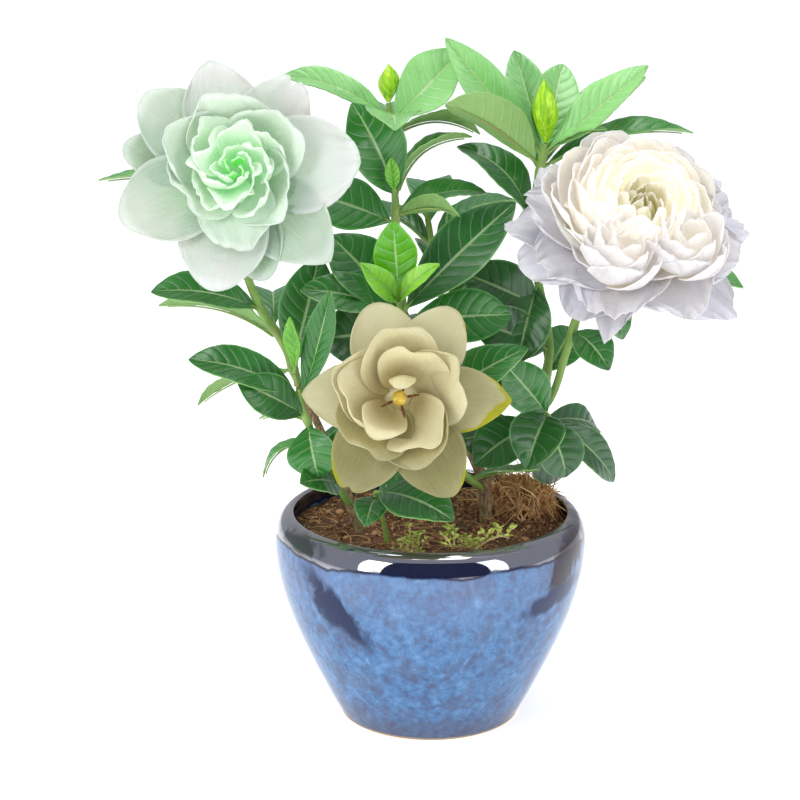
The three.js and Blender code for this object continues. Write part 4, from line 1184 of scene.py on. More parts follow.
BLOOM_RIGHT = {
    "foot": (85, -22, 225.5),
    "axis": (0.098, -0.711, 0.696),
    "seed": 29,
    "core": 11,
    "reach": 54,
    "whorls": [
        {
            "rows": (
                (8, 51, 38, 2), (29, 50, 34, 3.5), (345, 45, 36, 3), (316, 50, 36, 2),
                (251, 42, 22, 1), (231, 44, 34, 2.4), (193, 47, 38, 3), (168, 50, 34, 1.6),
                (133, 47, 32, 3),
            ),
            "open": (72, 108), "lift": 2.2, "ruffle": 2, "waves": 8,
            "frill": 1.1, "beats": 9, "curl": 10, "crease": 0.6, "warp": 1.6,
            "own": {4: {"peak": 0.14}, 3: {"peak": 0.06, "frill": 1.2}},
            "dims": {0: 0.2, 1: 0.1, 2: 0.35, 3: 0.5, 4: 0.65, 5: 0.5, 6: 0.35, 7: 0.25, 8: 0.1},
        },
        {
            "rows": (
                (207, 45, 46, 5), (250, 46, 46, 6), (293, 46, 48, 5), (336, 44, 46, 6), (165, 45, 44, 6),
                (18, 42, 40, 5),
            ),
            "open": (70, 84), "lift": 2.6, "ruffle": 1.8, "waves": 7,
            "frill": 1.3, "beats": 10, "curl": -16, "warp": 1.8,
            "dims": {0: 0.35, 1: 0.35, 2: 0.3, 3: 0.4, 4: 0.1, 5: 0.2},
        },
        {
            "rows": (
                (8, 38, 46, 6), (60, 40, 46, 7), (112, 44, 48, 6), (170, 48, 50, 7), (235, 42, 50, 6),
                (300, 38, 50, 7),
            ),
            "open": (74, 40), "lift": 2.0, "ruffle": 0.9, "waves": 6,
            "frill": 0.6, "beats": 6, "curl": -26, "warp": 0.8,
        },
        {
            "rows": (
                (346, 39, 44, 7), (28, 40, 44, 7), (72, 42, 44, 7), (112, 44, 44, 7),
                (148, 47, 46, 7), (186, 47, 46, 7), (214, 42, 38, 7),
            ),
            "open": (74, 27), "lift": 2.0, "ruffle": 0.7,
            "frill": 0.45, "curl": -26, "warp": 0.8,
        },
        {
            "rows": (
                (4, 39, 42, 7), (46, 40, 42, 7), (90, 42, 42, 7), (130, 44, 44, 7),
                (168, 45, 44, 7), (204, 42, 38, 7),
            ),
            "open": (72, 13), "lift": 2.0, "ruffle": 0.6, "waves": 4,
            "frill": 0.4, "curl": -26, "warp": 0.8,
        },
        {
            "rows": (
                (346, 38, 34, 7.5), (28, 38, 34, 7.5), (70, 38, 34, 7.5), (110, 40, 34, 7.5),
                (146, 42, 34, 7.5), (182, 42, 34, 7.5), (214, 39, 32, 7.5),
            ),
            "open": (70, 2), "lift": 1.8, "ruffle": 0.6, "waves": 4,
            "frill": 0.4, "curl": -22, "warp": 0.7,
        },
        {
            "rows": (
                (6, 38, 30, 8), (50, 38, 30, 8), (92, 38, 30, 8), (130, 40, 30, 8), (166, 41, 30, 8),
                (202, 39, 30, 8),
            ),
            "open": (66, -6), "lift": 1.8, "ruffle": 0.5, "waves": 4,
            "frill": 0.35, "curl": -20, "warp": 0.7,
        },
        {
            "count": 6, "turn": 24, "length": 37.5, "width": 26,
            "open": (60, -11), "lift": 1.7, "ruffle": 0.5, "waves": 4, "radius": 4.5, "height": 8,
            "frill": 0.35, "curl": -16, "warp": 0.7,
        },
    ],
    "heart": [
        {
            "count": 5, "turn": 40, "length": 36, "width": 20,
            "open": (54, -17), "lift": 1.5, "ruffle": 0.6, "radius": 4, "height": 8,
            "frill": 0.5, "beats": 6, "curl": -10, "warp": 0.6,
        },
        {
            "count": 5, "turn": 8, "length": 35, "width": 16,
            "open": (48, -21), "lift": 1.4, "ruffle": 0.5, "radius": 3.6, "height": 8,
            "frill": 0.5, "beats": 6, "warp": 0.5,
        },
        {
            "count": 5, "turn": 44, "length": 33.5, "width": 12,
            "open": (41, -23), "lift": 1.1, "ruffle": 0.4, "radius": 3, "height": 8,
            "frill": 0.5, "warp": 0.3,
        },
        {
            "count": 5, "turn": 20, "length": 31, "width": 8,
            "open": (32, -25), "lift": 0.9, "ruffle": 0.3, "radius": 2.4, "height": 8,
            "frill": 0.4, "warp": 0.2,
        },
        {
            "count": 4, "turn": 64, "length": 29, "width": 5,
            "open": (22, -24), "lift": 0.6, "ruffle": 0.2, "waves": 4, "radius": 1.8, "height": 8,
            "frill": 0.3, "beats": 4, "warp": 0.1,
        },
    ],
    "nests": [
        {"azimuth": 62, "angle": 18, "centre": (-14, -28.5, 17.6)},
        {"azimuth": 100, "angle": 16, "centre": (18, -25.5, 18.6)},
    ],
    "nest": [
        {
            "azimuths": (262, 318, 205, 20, 84, 145), "length": 25, "width": 31,
            "open": (70, 2), "lift": 1.7, "ruffle": 0.6, "waves": 4, "radius": 3, "height": 0,
            "frill": 0.6, "beats": 7, "curl": -8, "warp": 0.9, "dim": 0.65,
        },
        {
            "azimuths": (230, 300, 20, 100, 160), "length": 26, "width": 24,
            "open": (56, -8), "lift": 1.4, "ruffle": 0.5, "waves": 4, "radius": 2.4, "height": 1,
            "frill": 0.5, "beats": 6, "warp": 0.8, "dim": 0.55,
        },
        {
            "count": 3, "turn": 50, "length": 24, "width": 16,
            "open": (38, -16), "lift": 1.0, "ruffle": 0.3, "waves": 4, "radius": 1.6, "height": 1,
            "frill": 0.4, "warp": 0.5, "dim": 0.45,
        },
    ],
}
BLOOM_FRONT = {
    "foot": (-14, -45.6, 162.3),
    "axis": (-0.01, -0.965, 0.26),
    "seed": 5,
    "core": 9,
    "reach": 48,
    "whorls": [
        {
            "rows": (
                (359, 41, 30, 2.4), (58, 41, 31, 1.2), (105, 38.5, 33, 2.4), (178, 35.5, 31, 2),
                (239, 42, 33, 1.2), (299, 43, 33, 2.4),
            ),
            "open": (68, 86), "lift": 1.2, "ruffle": 0.8,
            "curl": 10, "cup": 0.16, "crease": 0.9, "frill": 0.25, "beats": 4, "warp": 1.1,
            "stains": {0: -1, 1: -0.27, 2: 0.12, 3: 0.24, 4: -0.34, 5: 0.3},
            "own": {
                0: {"peak": 0.09, "curl": 24}, 3: {"peak": 0.08}, 4: {"notch": 0.05, "frill": 0.5},
                1: {"frill": 0.4}, 5: {"peak": 0.03},
            },
            "dims": {0: 0.65, 1: 0.08, 3: 0.25, 4: 0.9, 5: 0.95},
        },
        {
            "rows": (
                (22, 32, 38, 5), (98, 33, 40, 5.5), (160, 32, 38, 5), (232, 32, 38, 5.5), (300, 32, 38, 5),
            ),
            "open": (80, 19), "lift": 2.4, "ruffle": 0.7,
            "curl": 4, "frill": 0.3, "warp": 1.9,
            "own": {1: {"curl": 22}, 4: {"curl": 40}},
            "dims": {3: 0.75, 4: 0.8},
        },
        {
            "count": 3, "turn": 62, "length": 28, "width": 38,
            "open": (78, 8), "lift": 2.2, "ruffle": 0.6, "waves": 4, "height": 6.5,
            "curl": 4, "frill": 0.3, "warp": 1.9,
        },
    ],
    "heart": [
        {
            "rows": ((84, 22, 12, 7), (236, 27, 24, 7.5)),
            "open": (62, -12), "lift": 1, "ruffle": 0.4, "waves": 4,
            "frill": 0.3, "beats": 4, "warp": 0.6,
            "own": {0: {"open": (60, -66)}, 1: {"curl": 95}},
        },
    ],
}

CALYX_CUP = [(2.4, -9.3), (2.9, -8.2), (3.6, -6), (4.4, -3.4), (5.2, -0.4), (3.8, 0.6)]
CALYX_GREEN = (0.4, 0, 0, 1)
SEPALS = 4
SEPAL_SHEET = 0.6


def calyx_parts(bloom, sheet, green):
    """The ribbed green cup under a bloom and its narrow sepals."""
    cup = turned_piece("calyx", CALYX_CUP, sides=24)
    points = points_of(cup.data)
    widen(cup.data, 1 + 0.05 * np.cos(8 * np.arctan2(points[:, 1], points[:, 0])))
    place_on_bloom(cup, bloom)
    keep(cup.data, CALYX_GREEN)
    cup.data.materials.append(green)
    foot, axes = bloom_axes(bloom)
    sepals = []
    for i in range(SEPALS):
        turn = 2 * math.pi * i / SEPALS + 0.4

        def shape(flat, turn=turn):
            s, t = flat[:, 0], (flat[:, 1] + 1) / 2
            out = 3.6 + 12 * t
            half = 1.8 * (1 - 0.75 * t**1.5)
            up = -2.2 - 2.4 * t**2 + 0.5 * np.abs(s)
            x = out * math.cos(turn) - s * half * math.sin(turn)
            y = out * math.sin(turn) + s * half * math.cos(turn)
            return foot + np.stack([x, y, up], axis=1) @ axes

        sepals.append(shaped_copy(sheet, shape, CALYX_GREEN, [green]))
    sepals = join("sepals", sepals)
    apply_modifier(sepals, "SOLIDIFY", thickness=SEPAL_SHEET * MM, offset=0)
    return [cup, sepals]


# Pot and soil

POT_HEIGHT = 98  # the height that the pot's outline is drawn for
POT_SIDES = 160
SOIL_RIM_HEIGHT = 87
SOIL_LEVELS = (6.3, 16, 26, 38, 50, 61, 72, 80)  # heights along the soil's side
SOIL_SIDE_GAP = 0.5  # between the soil and the pot's wall
SOIL_RIM_GAP = 0.4
SOIL_SIDES = 120
SOIL_RINGS = 52
LUMPS = 150
ROOTS = 300
ROOT_RADII = (0.26, 0.14)
COIR_STRAYS = 0.1  # share of the fibres that stand out of the clump
COIR = {"x": 42.5, "y": 13, "radius": 14.5, "rise": 12}


def bezier(corners, count):
    """Points of a quadratic or cubic Bezier curve."""
    result = []
    for t in np.linspace(0, 1, count):
        level = np.array(corners, float)
        while len(level) > 1:
            level = lerp(level[:-1], level[1:], t)
        result.append(tuple(level[0]))
    return result


def inner_wall():
    """The pot's inside, from the lip down."""
    return bezier([(63.4, 94.9), (69, 86), (67, 54), (40.5, 6)], 30)


def pot_outline(height):
    """From the foot up the belly, over the lip and down the inside to the floor."""
    outline = [(20, 0), (40, 0), (40.9, 0), (42, 0.5)]
    outline += bezier([(42.5, 1.6), (55.5, 27), (72, 57), (72, 84)], 40)
    outline += bezier([(72, 84), (72, 95.5), (65.2, 97.8)], 14)[1:]
    outline += [(64.7, 97.95), (64, 98), (63.4, 97.7), (63.05, 97.1), (63, 96.4)]
    outline += inner_wall() + [(20, 6), (1, 6)]
    return [(r, z * height / POT_HEIGHT) for r, z in outline]


def inner_radius_at(height):
    wall = inner_wall()[::-1]
    return float(np.interp(height, [z for _, z in wall], [r for r, _ in wall]))


def soil_height(x, y):
    """Height of the soil's surface: low waves, and a mound at the right where the coir lies."""
    mound = math.exp(-((x - COIR["x"]) ** 2 + (y - COIR["y"]) ** 2) / 500)
    middle = max(1 - math.hypot(x, y) / inner_radius_at(SOIL_RIM_HEIGHT), 0)
    waves = math.sin(x * 0.55) * math.cos(y * 0.5) + math.sin(x * 0.23 + y * 0.31)
    return SOIL_RIM_HEIGHT + 4 * math.sqrt(middle) + 5 * mound + 0.8 * waves * min(1, 6 * middle)


def crumbly_height(x, y):
    """The soil's surface with its unevenness."""
    coarse = noise.fractal(Vector((x * 0.11, y * 0.11, 3)), 0.9, 2.1, 4)
    fine = noise.fractal(Vector((x * 0.42, y * 0.42, 9)), 0.8, 2.1, 3)
    return soil_height(x, y) + 1.5 * coarse + 0.9 * fine


# Heights on the pot in metres: where the shoulder's navy starts, partly the glaze's own colour and partly
# a painted reflection whose sharp edge stands for a mirrored horizon, where it starts to mirror, and the
# lip
SHOULDER_EDGE = (0.0878, 0.0892)
MIRROR_EDGE = (0.0893, 0.0903)
LIP_EDGE = (0.0968, 0.0976)
LIP_TOP = (0.09785, 0.098)
FOOT_EDGE = (0.0012, 0.0017)
# Where the dark glaze of the shoulder has run, and, last, a dark green painted reflection of the leaves
# near the
# lip: x and height of its middle in metres, its slant, its half length and half width, and its colour
RUNS_AND_PAINTED_REFLECTION = (
    (-0.042, 0.069, math.radians(-50), 0.025, 0.0068, 0x071842),
    (0.060, 0.085, math.radians(60), 0.016, 0.008, 0x2C1F2C),
    (0.054, 0.070, math.radians(15), 0.016, 0.0055, 0x1C2A50),
    (-0.0576, 0.094, math.radians(10), 0.009, 0.004, 0x24302A),
)


def glaze_finish(colours):
    """Navy on the shoulder, partly glaze and partly painted reflection, mottled blue with plum speckle on
    the belly, a painted lavender-grey reflection on the upper belly, dark runs and a painted reflection of
    the leaves near the lip, bare clay at the foot.
    """
    glaze = Finish("glaze")
    sideways = glaze.add("ShaderNodeSeparateXYZ", None, {0: glaze.place()})
    depth, height = sideways.also("Y"), sideways.also("Z")
    runs = glaze.noise(1, glaze.stretched(34, 34, 13), detail=6, distortion=0.7)
    cloud = glaze.noise(1, glaze.stretched(95, 95, 66), detail=8, distortion=1.4)
    fleck = glaze.noise(330, detail=5, distortion=0.4)
    grain = glaze.noise(1500, detail=3)
    level = cloud * 0.42 + fleck * 0.38 + grain * 0.2
    body = glaze.ramp(
        level,
        (0.32, colours.glaze_plum), (0.41, shade(0x3A5480)), (0.5, colours.glaze_blue),
        (0.6, shade(0x5480B0)), (0.72, colours.glaze_sky),
    )
    plum = glaze.noise(1, glaze.stretched(105, 105, 80), detail=6).between(0.5, 0.62)
    body = glaze.mix(plum * grain.between(0.4, 0.6) * 0.6, body, colours.glaze_plum)
    foot = 1 - (height + (runs - 0.5) * 0.02).between(0, 0.02)
    body = glaze.mix(foot * 0.55, body, colours.glaze_plum)
    # Painted reflection: a lavender-grey sheen across the upper belly
    painted_reflection_band = height.between(0.05, 0.084) * (runs * 0.8 + 0.1)
    body = glaze.mix(painted_reflection_band * 0.4, body, shade(0x8894B8))
    drip = height + (runs - 0.5) * 0.01
    # The navy shoulder: partly the glaze's own colour and partly a painted reflection, edged sharply like
    # a mirrored horizon
    body = glaze.mix(drip.between(*SHOULDER_EDGE), body, colours.night_glaze_and_reflection)
    glassy = drip.between(*MIRROR_EDGE) * 0.92 + 0.08
    # Dark runs of the glaze; the last patch is a painted reflection of the leaves
    for x, z, lean, long, wide, colour in RUNS_AND_PAINTED_REFLECTION:
        across = sideways - x + (cloud - 0.5) * 0.016
        down = height - z + (runs - 0.5) * 0.012
        along = across * math.cos(lean) + down * math.sin(lean)
        aside = down * math.cos(lean) - across * math.sin(lean)
        off = ((along * (1 / long)) ** 2 + (aside * (1 / wide)) ** 2) ** 0.5
        patch = (1 - off.between(0.6, 1.15)) * (0 - depth).over(0)
        body = glaze.mix(patch * 0.96, body, shade(colour))
        glassy = glassy * (1 - patch * 0.85)
    lip = height.between(*LIP_EDGE) * (1 - height.between(*LIP_TOP) * 0.6)
    body = glaze.mix(lip * 0.55, body, shade(0x4A3A30))
    bare = 1 - (height + (fleck - 0.5) * 0.0012).between(*FOOT_EDGE)
    body = glaze.mix(bare, body, colours.clay)
    relief = glaze.bump(cloud * 0.5 + runs * 0.5, 0.6, 0.15)
    return glaze.surface(
        body, bare * 0.6 + fleck * 0.03 + 0.05, relief,
        coat_weight=glassy * (1 - bare), coat_roughness=0.03, coat_ior=3.3, specular_ior_level=0.3,
    )


def soil_finish(colours):
    """Dark crumbs with tan and reddish ones among them."""
    soil = Finish("potting_soil")
    tone, _, _, _ = soil.kept()
    lump = soil.noise(190, detail=6)
    fine = soil.noise(1400, detail=4)
    level = lump * 0.45 + fine * 0.3 + tone * 0.5
    colour = soil.ramp(
        level,
        (0.28, shade(0x21140C)), (0.4, colours.soil),
        (0.6, shade(0x8A5C3A)), (0.92, colours.soil_pale),
    )
    relief = soil.bump(soil.cells(520) * 0.5 + fine * 0.5, 0.9, 0.9)
    return soil.surface(colour, fine * 0.2 + 0.72, relief)


def fibre_finish(colours):
    """Orange brown strands, each lighter or darker."""
    fibre = Finish("coir_fibre")
    tone, _, _, _ = fibre.kept()
    lump = fibre.noise(240, detail=4)
    colour = fibre.ramp(
        tone * 0.75 + lump * 0.3, (0.1, shade(0x8C5A30)), (0.45, colours.coir), (0.9, shade(0xF8D8A4))
    )
    relief = fibre.bump(fibre.noise(1600, detail=2), 0.15, 0.6)
    return fibre.surface(colour, lump * 0.2 + 0.65, relief)


def moss_finish(name, colour, dark, light):
    moss = Finish(name)
    tone, _, _, _ = moss.kept()
    patch = moss.noise(420, detail=4)
    body = moss.ramp(tone * 0.6 + patch * 0.4, (0.2, dark), (0.5, colour), (0.85, light))
    relief = moss.bump(moss.noise(1500, detail=3), 0.15, 0.6)
    return moss.surface(body, patch * 0.2 + 0.55, relief)


def bark_finish(colours):
    """Cracked plates of bark with some green on them."""
    bark = Finish("bark")
    plates = bark.noise(1, bark.stretched(420, 420, 95), detail=6, distortion=0.5)
    patch = bark.noise(60, detail=3)
    crack = bark.cells(1, bark.stretched(560, 560, 150), feature="DISTANCE_TO_EDGE").between(0, 0.14)
    colour = bark.ramp(
        plates * 0.7 + patch * 0.3, (0.32, shade(0x4E3A28)), (0.5, colours.bark), (0.68, shade(0xB09A74))
    )
    colour = bark.mix((1 - crack) * 0.55, colour, shade(0x35271A))
    colour = bark.mix(patch.between(0.56, 0.7) * 0.35, colour, shade(0x6E7F46))
    relief = bark.bump(crack * 0.5 + plates * 0.5, 0.5, 0.8)
    return bark.surface(colour, plates * 0.2 + 0.62, relief)


def scattered(name, template, placements, material):
    """Many small copies of one shape in a single mesh. Each placement is a rule and a tone."""
    source = template.data
    points = points_of(source)
    faces = [tuple(face.vertices) for face in source.polygons]
    vertices, all_faces, tones = [], [], []
    for index, (shape, tone) in enumerate(placements):
        vertices.append(shape(points) * MM)
        start = index * len(points)
        all_faces += [tuple(v + start for v in face) for face in faces]
        tones += [(tone, 0, 0, 1)] * len(points)
    mesh = bpy.data.meshes.new(name)
    mesh.from_pydata(np.concatenate(vertices).tolist(), [], all_faces)
    keep(mesh, tones)
    mesh.materials.append(material)
    piece = bpy.data.objects.new(name, mesh)
    bpy.context.scene.collection.objects.link(piece)
    return piece


def crumb_shape(draw, size):
    """A crumb lying somewhere on the soil, squashed and turned at random."""
    radius = (inner_radius_at(SOIL_RIM_HEIGHT) - 2.5) * math.sqrt(next(draw))
    turn = FULL_TURN * next(draw)
    x, y = radius * math.cos(turn), radius * math.sin(turn)
    sizes = size * np.array([0.5 + next(draw), 0.5 + next(draw), 0.35 + 0.6 * next(draw)])
    spin, lean = FULL_TURN * next(draw), 0.8 * (next(draw) - 0.5)
    centre = np.array([x, y, crumbly_height(x, y) + 0.25 * sizes[2]])
    cos, sin = math.cos(spin), math.sin(spin)
    skew = np.array([[cos, -sin, 0], [sin, cos, lean], [0, -lean, 1]])
    return lambda points: (points * sizes) @ skew.T + centre


def strand_path(root, run, length, arch, draw):
    """Eight points along a curling fibre that stays above the soil."""
    side = unit(np.cross(run, (0.2, 0.3, 1)))
    bend = 0.9 * (next(draw) - 0.5)
    path = []
    for t in np.linspace(0, 1, 8):
        point = root + run * length * t + side * length * bend * t * t
        point = point + np.array([0, 0, arch * 4 * t * (1 - t)])
        point[2] = max(point[2], crumbly_height(point[0], point[1]) + 0.15)
        path.append(point)
    return path


def pot_object():
    height = bpy.context.scene.gardenia_sizes.pot_height / MM
    pot = turned_piece("glazed_pot", pot_outline(height), POT_SIDES)
    smooth(pot, 35)
    pot.data.materials.append(glaze_finish(bpy.context.scene.gardenia_colours))
    settle(pot, "glaze", "pot")


def soil_object():
    sizes, colours = bpy.context.scene.gardenia_sizes, bpy.context.scene.gardenia_colours
    rim = inner_radius_at(SOIL_RIM_HEIGHT) - SOIL_RIM_GAP
    outline = [(inner_radius_at(z) - SOIL_SIDE_GAP, z) for z in SOIL_LEVELS]
    outline += [(rim * share, SOIL_RIM_HEIGHT) for share in np.linspace(1, 0.01, SOIL_RINGS)]
    body = turned_piece("soil_body", outline, SOIL_SIDES)
    points = points_of(body.data) / MM
    for point in points:
        if point[2] > SOIL_RIM_HEIGHT - 0.01:
            point[2] = crumbly_height(point[0], point[1])
    put_points(body.data, points * MM)
    finish = soil_finish(colours)
    body.data.materials.append(finish)
    patches = [0.18 + 0.25 * noise.noise(Vector((x * 0.25, y * 0.25, 5))) for x, y, _ in points]
    keep(body.data, [(max(patch, 0), 0, 0, 1) for patch in patches])
    draw = seeded(3)
    small, large = (crumb_stone("crumb", subdivisions=level) for level in (1, 2))
    size = sizes.crumb / MM
    crumbs = [
        (crumb_shape(draw, size * (0.3 + 0.8 * next(draw))), 1.3 * next(draw) ** 1.3)
        for _ in range(sizes.crumbs)
    ]
    lumps = [
        (crumb_shape(draw, size * (1.1 + 0.9 * next(draw))), 0.2 + 0.8 * next(draw))
        for _ in range(LUMPS)
    ]
    parts = [scattered("crumbs", small, crumbs, finish), scattered("lumps", large, lumps, finish)]
    rod = straight_rod("root", sides=3, lengths=7)
    strands = []
    for _ in range(ROOTS):
        radius, turn = rim * 0.95 * math.sqrt(next(draw)), FULL_TURN * next(draw)
        x, y = radius * math.cos(turn), radius * math.sin(turn)
        run = np.array([math.cos(FULL_TURN * next(draw)), math.sin(FULL_TURN * next(draw)), 0.1])
        length = 5 + 9 * next(draw)
        if math.hypot(x + run[0] * length, y + run[1] * length) > rim * 0.96:
            continue
        start = np.array([x, y, crumbly_height(x, y)])
        path = strand_path(start, unit(run), length, 0.8, draw)
        strands.append((rod_shape(path, ROOT_RADII), 0.5 + 0.7 * next(draw)))
    parts.append(scattered("roots", rod, strands, finish))
    discard(small, large, rod)
    soil = join("potting_soil", [body, *parts])
    smooth(soil, 35)
    settle(soil, "soil", "soil")


def coir_object():
    sizes, colours = bpy.context.scene.gardenia_sizes, bpy.context.scene.gardenia_colours
    finish = fibre_finish(colours)
    draw = seeded(7)
    centre = np.array([COIR["x"], COIR["y"], soil_height(COIR["x"], COIR["y"])])
    reach = np.array([COIR["radius"], COIR["radius"] * 0.8, COIR["rise"]])
    outline = [(0.97, -0.25), (1, 0)] + [(math.cos(a), math.sin(a)) for a in np.linspace(0.12, 1.55, 14)]
    dome = turned_piece("coir_dome", outline, sides=48)
    points = points_of(dome.data) / MM
    for i, point in enumerate(points):
        lump = noise.fractal(Vector(point * 3.2), 0.8, 2, 4)
        points[i] = point * reach * (0.84 + 0.1 * lump) + centre
    put_points(dome.data, points * MM)
    keep(dome.data, (0.25, 0, 0, 1))
    dome.data.materials.append(finish)
    rod = straight_rod("fibre", sides=3, lengths=7)
    strands = []
    for _ in range(sizes.fibres):
        turn, rise = FULL_TURN * next(draw), math.asin(0.08 + 0.92 * next(draw))
        flat = math.cos(rise)
        place = np.array([math.cos(turn) * flat, math.sin(turn) * flat, math.sin(rise)])
        around = FULL_TURN * next(draw)
        tangent = unit(np.cross(place, (math.cos(around), math.sin(around), 0.7)))
        stray = next(draw) > 1 - COIR_STRAYS
        tangent = unit(tangent + 0.8 * place) if stray else tangent
        length = 8 + 15 * next(draw)
        root = centre + place * reach * (0.84 + 0.24 * next(draw))
        root = root - tangent * (0 if stray else length / 2)
        path = strand_path(root, tangent, length, 1.6 * next(draw), draw)
        thick = 0.18 + 0.24 * next(draw)
        strands.append((rod_shape(path, [thick, thick, thick * 0.5]), next(draw)))
    fibres = scattered("fibres", rod, strands, finish)
    discard(rod)
    coir = join("coir_fibres", [dome, fibres])
    smooth(coir)
    settle(coir, "coir", "coir_clump")


MOSS_SHEET = 0.35
MOSS_TWIGS = 6
MOSS_STEM_RADII = (0.65, 0.4)
MOSS_TWIG_RADII = (0.42, 0.22)


def moss_object(name, sprig):
    """A sprig's stems with their side twigs and pairs of leaves."""
    colours = bpy.context.scene.gardenia_colours
    green = moss_finish("moss_leaf", colours.moss, shade(0x76882A), shade(0xD6E27C))
    pale = moss_finish("moss_stem", colours.moss_stem, shade(0x6E5A34), shade(0xCDBB86))
    draw = seeded(len(name) + 17)  # the two names differ in length
    rod = straight_rod("moss_stem", sides=6, lengths=14)
    thin = straight_rod("moss_twig", sides=5, lengths=6)
    leaf = flat_sheet("moss_leaf", columns=4, rows=4)
    parts, leaves = [], []
    for points in sprig["stems"]:
        path = smooth_curve(points, np.linspace(0, 1, 15))
        shape = rod_shape(path, MOSS_STEM_RADII, roughness=0.2)
        parts.append(shaped_copy(rod, shape, (next(draw), 0, 0, 1), [pale]))
        lines = [points]
        for i in range(MOSS_TWIGS):
            start = smooth_curve(points, [(i + next(draw)) / MOSS_TWIGS])[0]
            turn = FULL_TURN * next(draw)
            length = 5 + 4 * next(draw)
            reach = length * unit(np.array([math.cos(turn), math.sin(turn), 0.4 + 0.9 * next(draw)]))
            middle = start + reach * 0.55 + np.array([0, 0, 1.2])
            lines.append([start, middle, start + reach])
        for line in lines[1:]:
            path = smooth_curve(line, np.linspace(0, 1, 7))
            shape = rod_shape(path, MOSS_TWIG_RADII, roughness=0.2)
            parts.append(shaped_copy(thin, shape, (next(draw), 0, 0, 1), [pale]))
        for line in lines:
            leaves += moss_leaves(line, 6 if line is points else 3, 0.8 * sprig["leafLength"], draw)
    blades = scattered("moss_leaves", leaf, leaves, green)
    apply_modifier(blades, "SOLIDIFY", thickness=MOSS_SHEET * MM, offset=0)
    discard(rod, thin, leaf)
    moss = join(name + "_twigs", [blades, *parts])
    smooth(moss, 50)
    settle(moss, "moss", name)


def moss_leaves(line, pairs, length, draw):
    """Pairs of small leaves along a twig."""
    leaves = []
    for i in range(1, pairs + 1):
        place = (i - 0.3) / pairs
        base = smooth_curve(line, [place])[0]
        behind, ahead = smooth_curve(line, [place - 0.05, min(place + 0.05, 1)])
        run = unit(ahead - behind)
        for side in (-1, 1):
            reach = np.array([-run[1] * side, run[0] * side, 0.2 + 0.7 * next(draw)]) + 0.5 * run
            reach = unit(reach + 0.35 * np.array([next(draw) - 0.5, next(draw) - 0.5, 0]))
            across = unit(np.cross(reach, UP))
            facing = np.cross(across, reach)
            long = length * (0.35 + 0.4 * next(draw))
            leaves.append((moss_leaf_shape(base, reach, across, facing, long), next(draw)))
    return leaves


def moss_leaf_shape(base, reach, across, facing, length):
    def shape(points):
        s, t = points[:, :1], (points[:, 1:2] + 1) / 2
        half = 0.34 * length * np.sin(np.pi * np.clip(t, 0.02, 0.98) ** 0.8)
        bow = facing * length * (0.16 * np.sin(np.pi * t) + 0.12 * s**2)
        return base + reach * length * t + across * s * half + bow

    return shape


TRUNK_KNOTS = [(0.24, 0.14), (0.52, 0.18), (0.8, 0.14)]  # place along an arm and swelling


def trunk_object(name, arms, finish):
    rod = straight_rod("trunk", sides=22, lengths=60)
    parts = []
    for arm in arms:
        path = smooth_curve(arm["points"], np.linspace(0, 1, 40))
        shape = rod_shape(path, arm["radii"], roughness=0.16, knots=TRUNK_KNOTS)
        parts.append(shaped_copy(rod, shape, (0.5, 0, 0, 1), [finish]))
    discard(rod)
    trunk = join(name + "_wood", parts)
    smooth(trunk)
    settle(trunk, "bark", name)


# Shoots


def shoot_objects(shoots, slot, finishes, suffix, blooms=()):
    """Shoots of one kind, with a calyx on those that end in a bloom."""
    sheet = flat_sheet("blade", *LEAF_GRID)
    small = flat_sheet("sepal", columns=4, rows=10)
    stem_rod = straight_rod("stem", sides=12, lengths=48)
    thin_rod = straight_rod("stalk", sides=6, lengths=10)
    quilting = bpy.context.scene.gardenia_sizes.quilting / MM
    for name, shoot in shoots.items():
        leaves, rods = foliage(
            name + "_blades", shoot["points"], shoot["radii"], shoot["leaves"], TONES[name],
            (sheet, stem_rod, thin_rod), finishes, quilting,
        )
        if name in blooms:
            rods += calyx_parts(blooms[name], small, finishes[2])
        piece = join(name + suffix, [leaves, *rods])
        smooth(piece)
        settle(piece, slot, name)
    discard(sheet, small, stem_rod, thin_rod)


BUDS = {
    "bud_crown_left": {"base": (-19, 13, 283.4), "tip": (-19, 15, 300), "radius": 4.6, "flutes": 3},
    "bud_crown_right": {"base": (51.1, 5.6, 266.6), "tip": (49, -1, 295), "radius": 5.4, "flutes": 4},
}


def bud_object(name, bud, finish):
    """A rolled leaf bud: a fluted spindle whose leaves wind round each other."""
    base, tip = (np.array(bud[key], float) for key in ("base", "tip"))
    axis = unit(tip - base)
    across = unit(np.cross(axis, (0, 1, 0)))
    other = np.cross(axis, across)
    rod = straight_rod(name, sides=40, lengths=40)

    def shape(points):
        t, angle = points[:, 2], np.arctan2(points[:, 1], points[:, 0])
        swell = np.maximum(bud["radius"] * np.sin(np.pi * (0.1 + 0.9 * t) ** 1.25), 0.35)
        wind = bud["flutes"] * (angle + 1.2 * t)
        radius = swell * (1 + 0.14 * np.cos(wind) - 0.1 * np.abs(np.sin(wind / 2)) ** 6)
        radius = radius + 0.16 * np.sin(3 * wind) * np.sin(np.pi * t)
        radius = (radius * np.hypot(points[:, 0], points[:, 1]))[:, None]
        out = across * np.cos(angle)[:, None] * radius + other * np.sin(angle)[:, None] * radius
        return lerp(base, tip, t[:, None]) + out

    piece = shaped_copy(rod, shape, (0.75, 0.4, 0.5, 1), [finish])
    discard(rod)
    piece = join(name + "_roll", [piece])
    smooth(piece)
    settle(piece, "young_leaf", name)


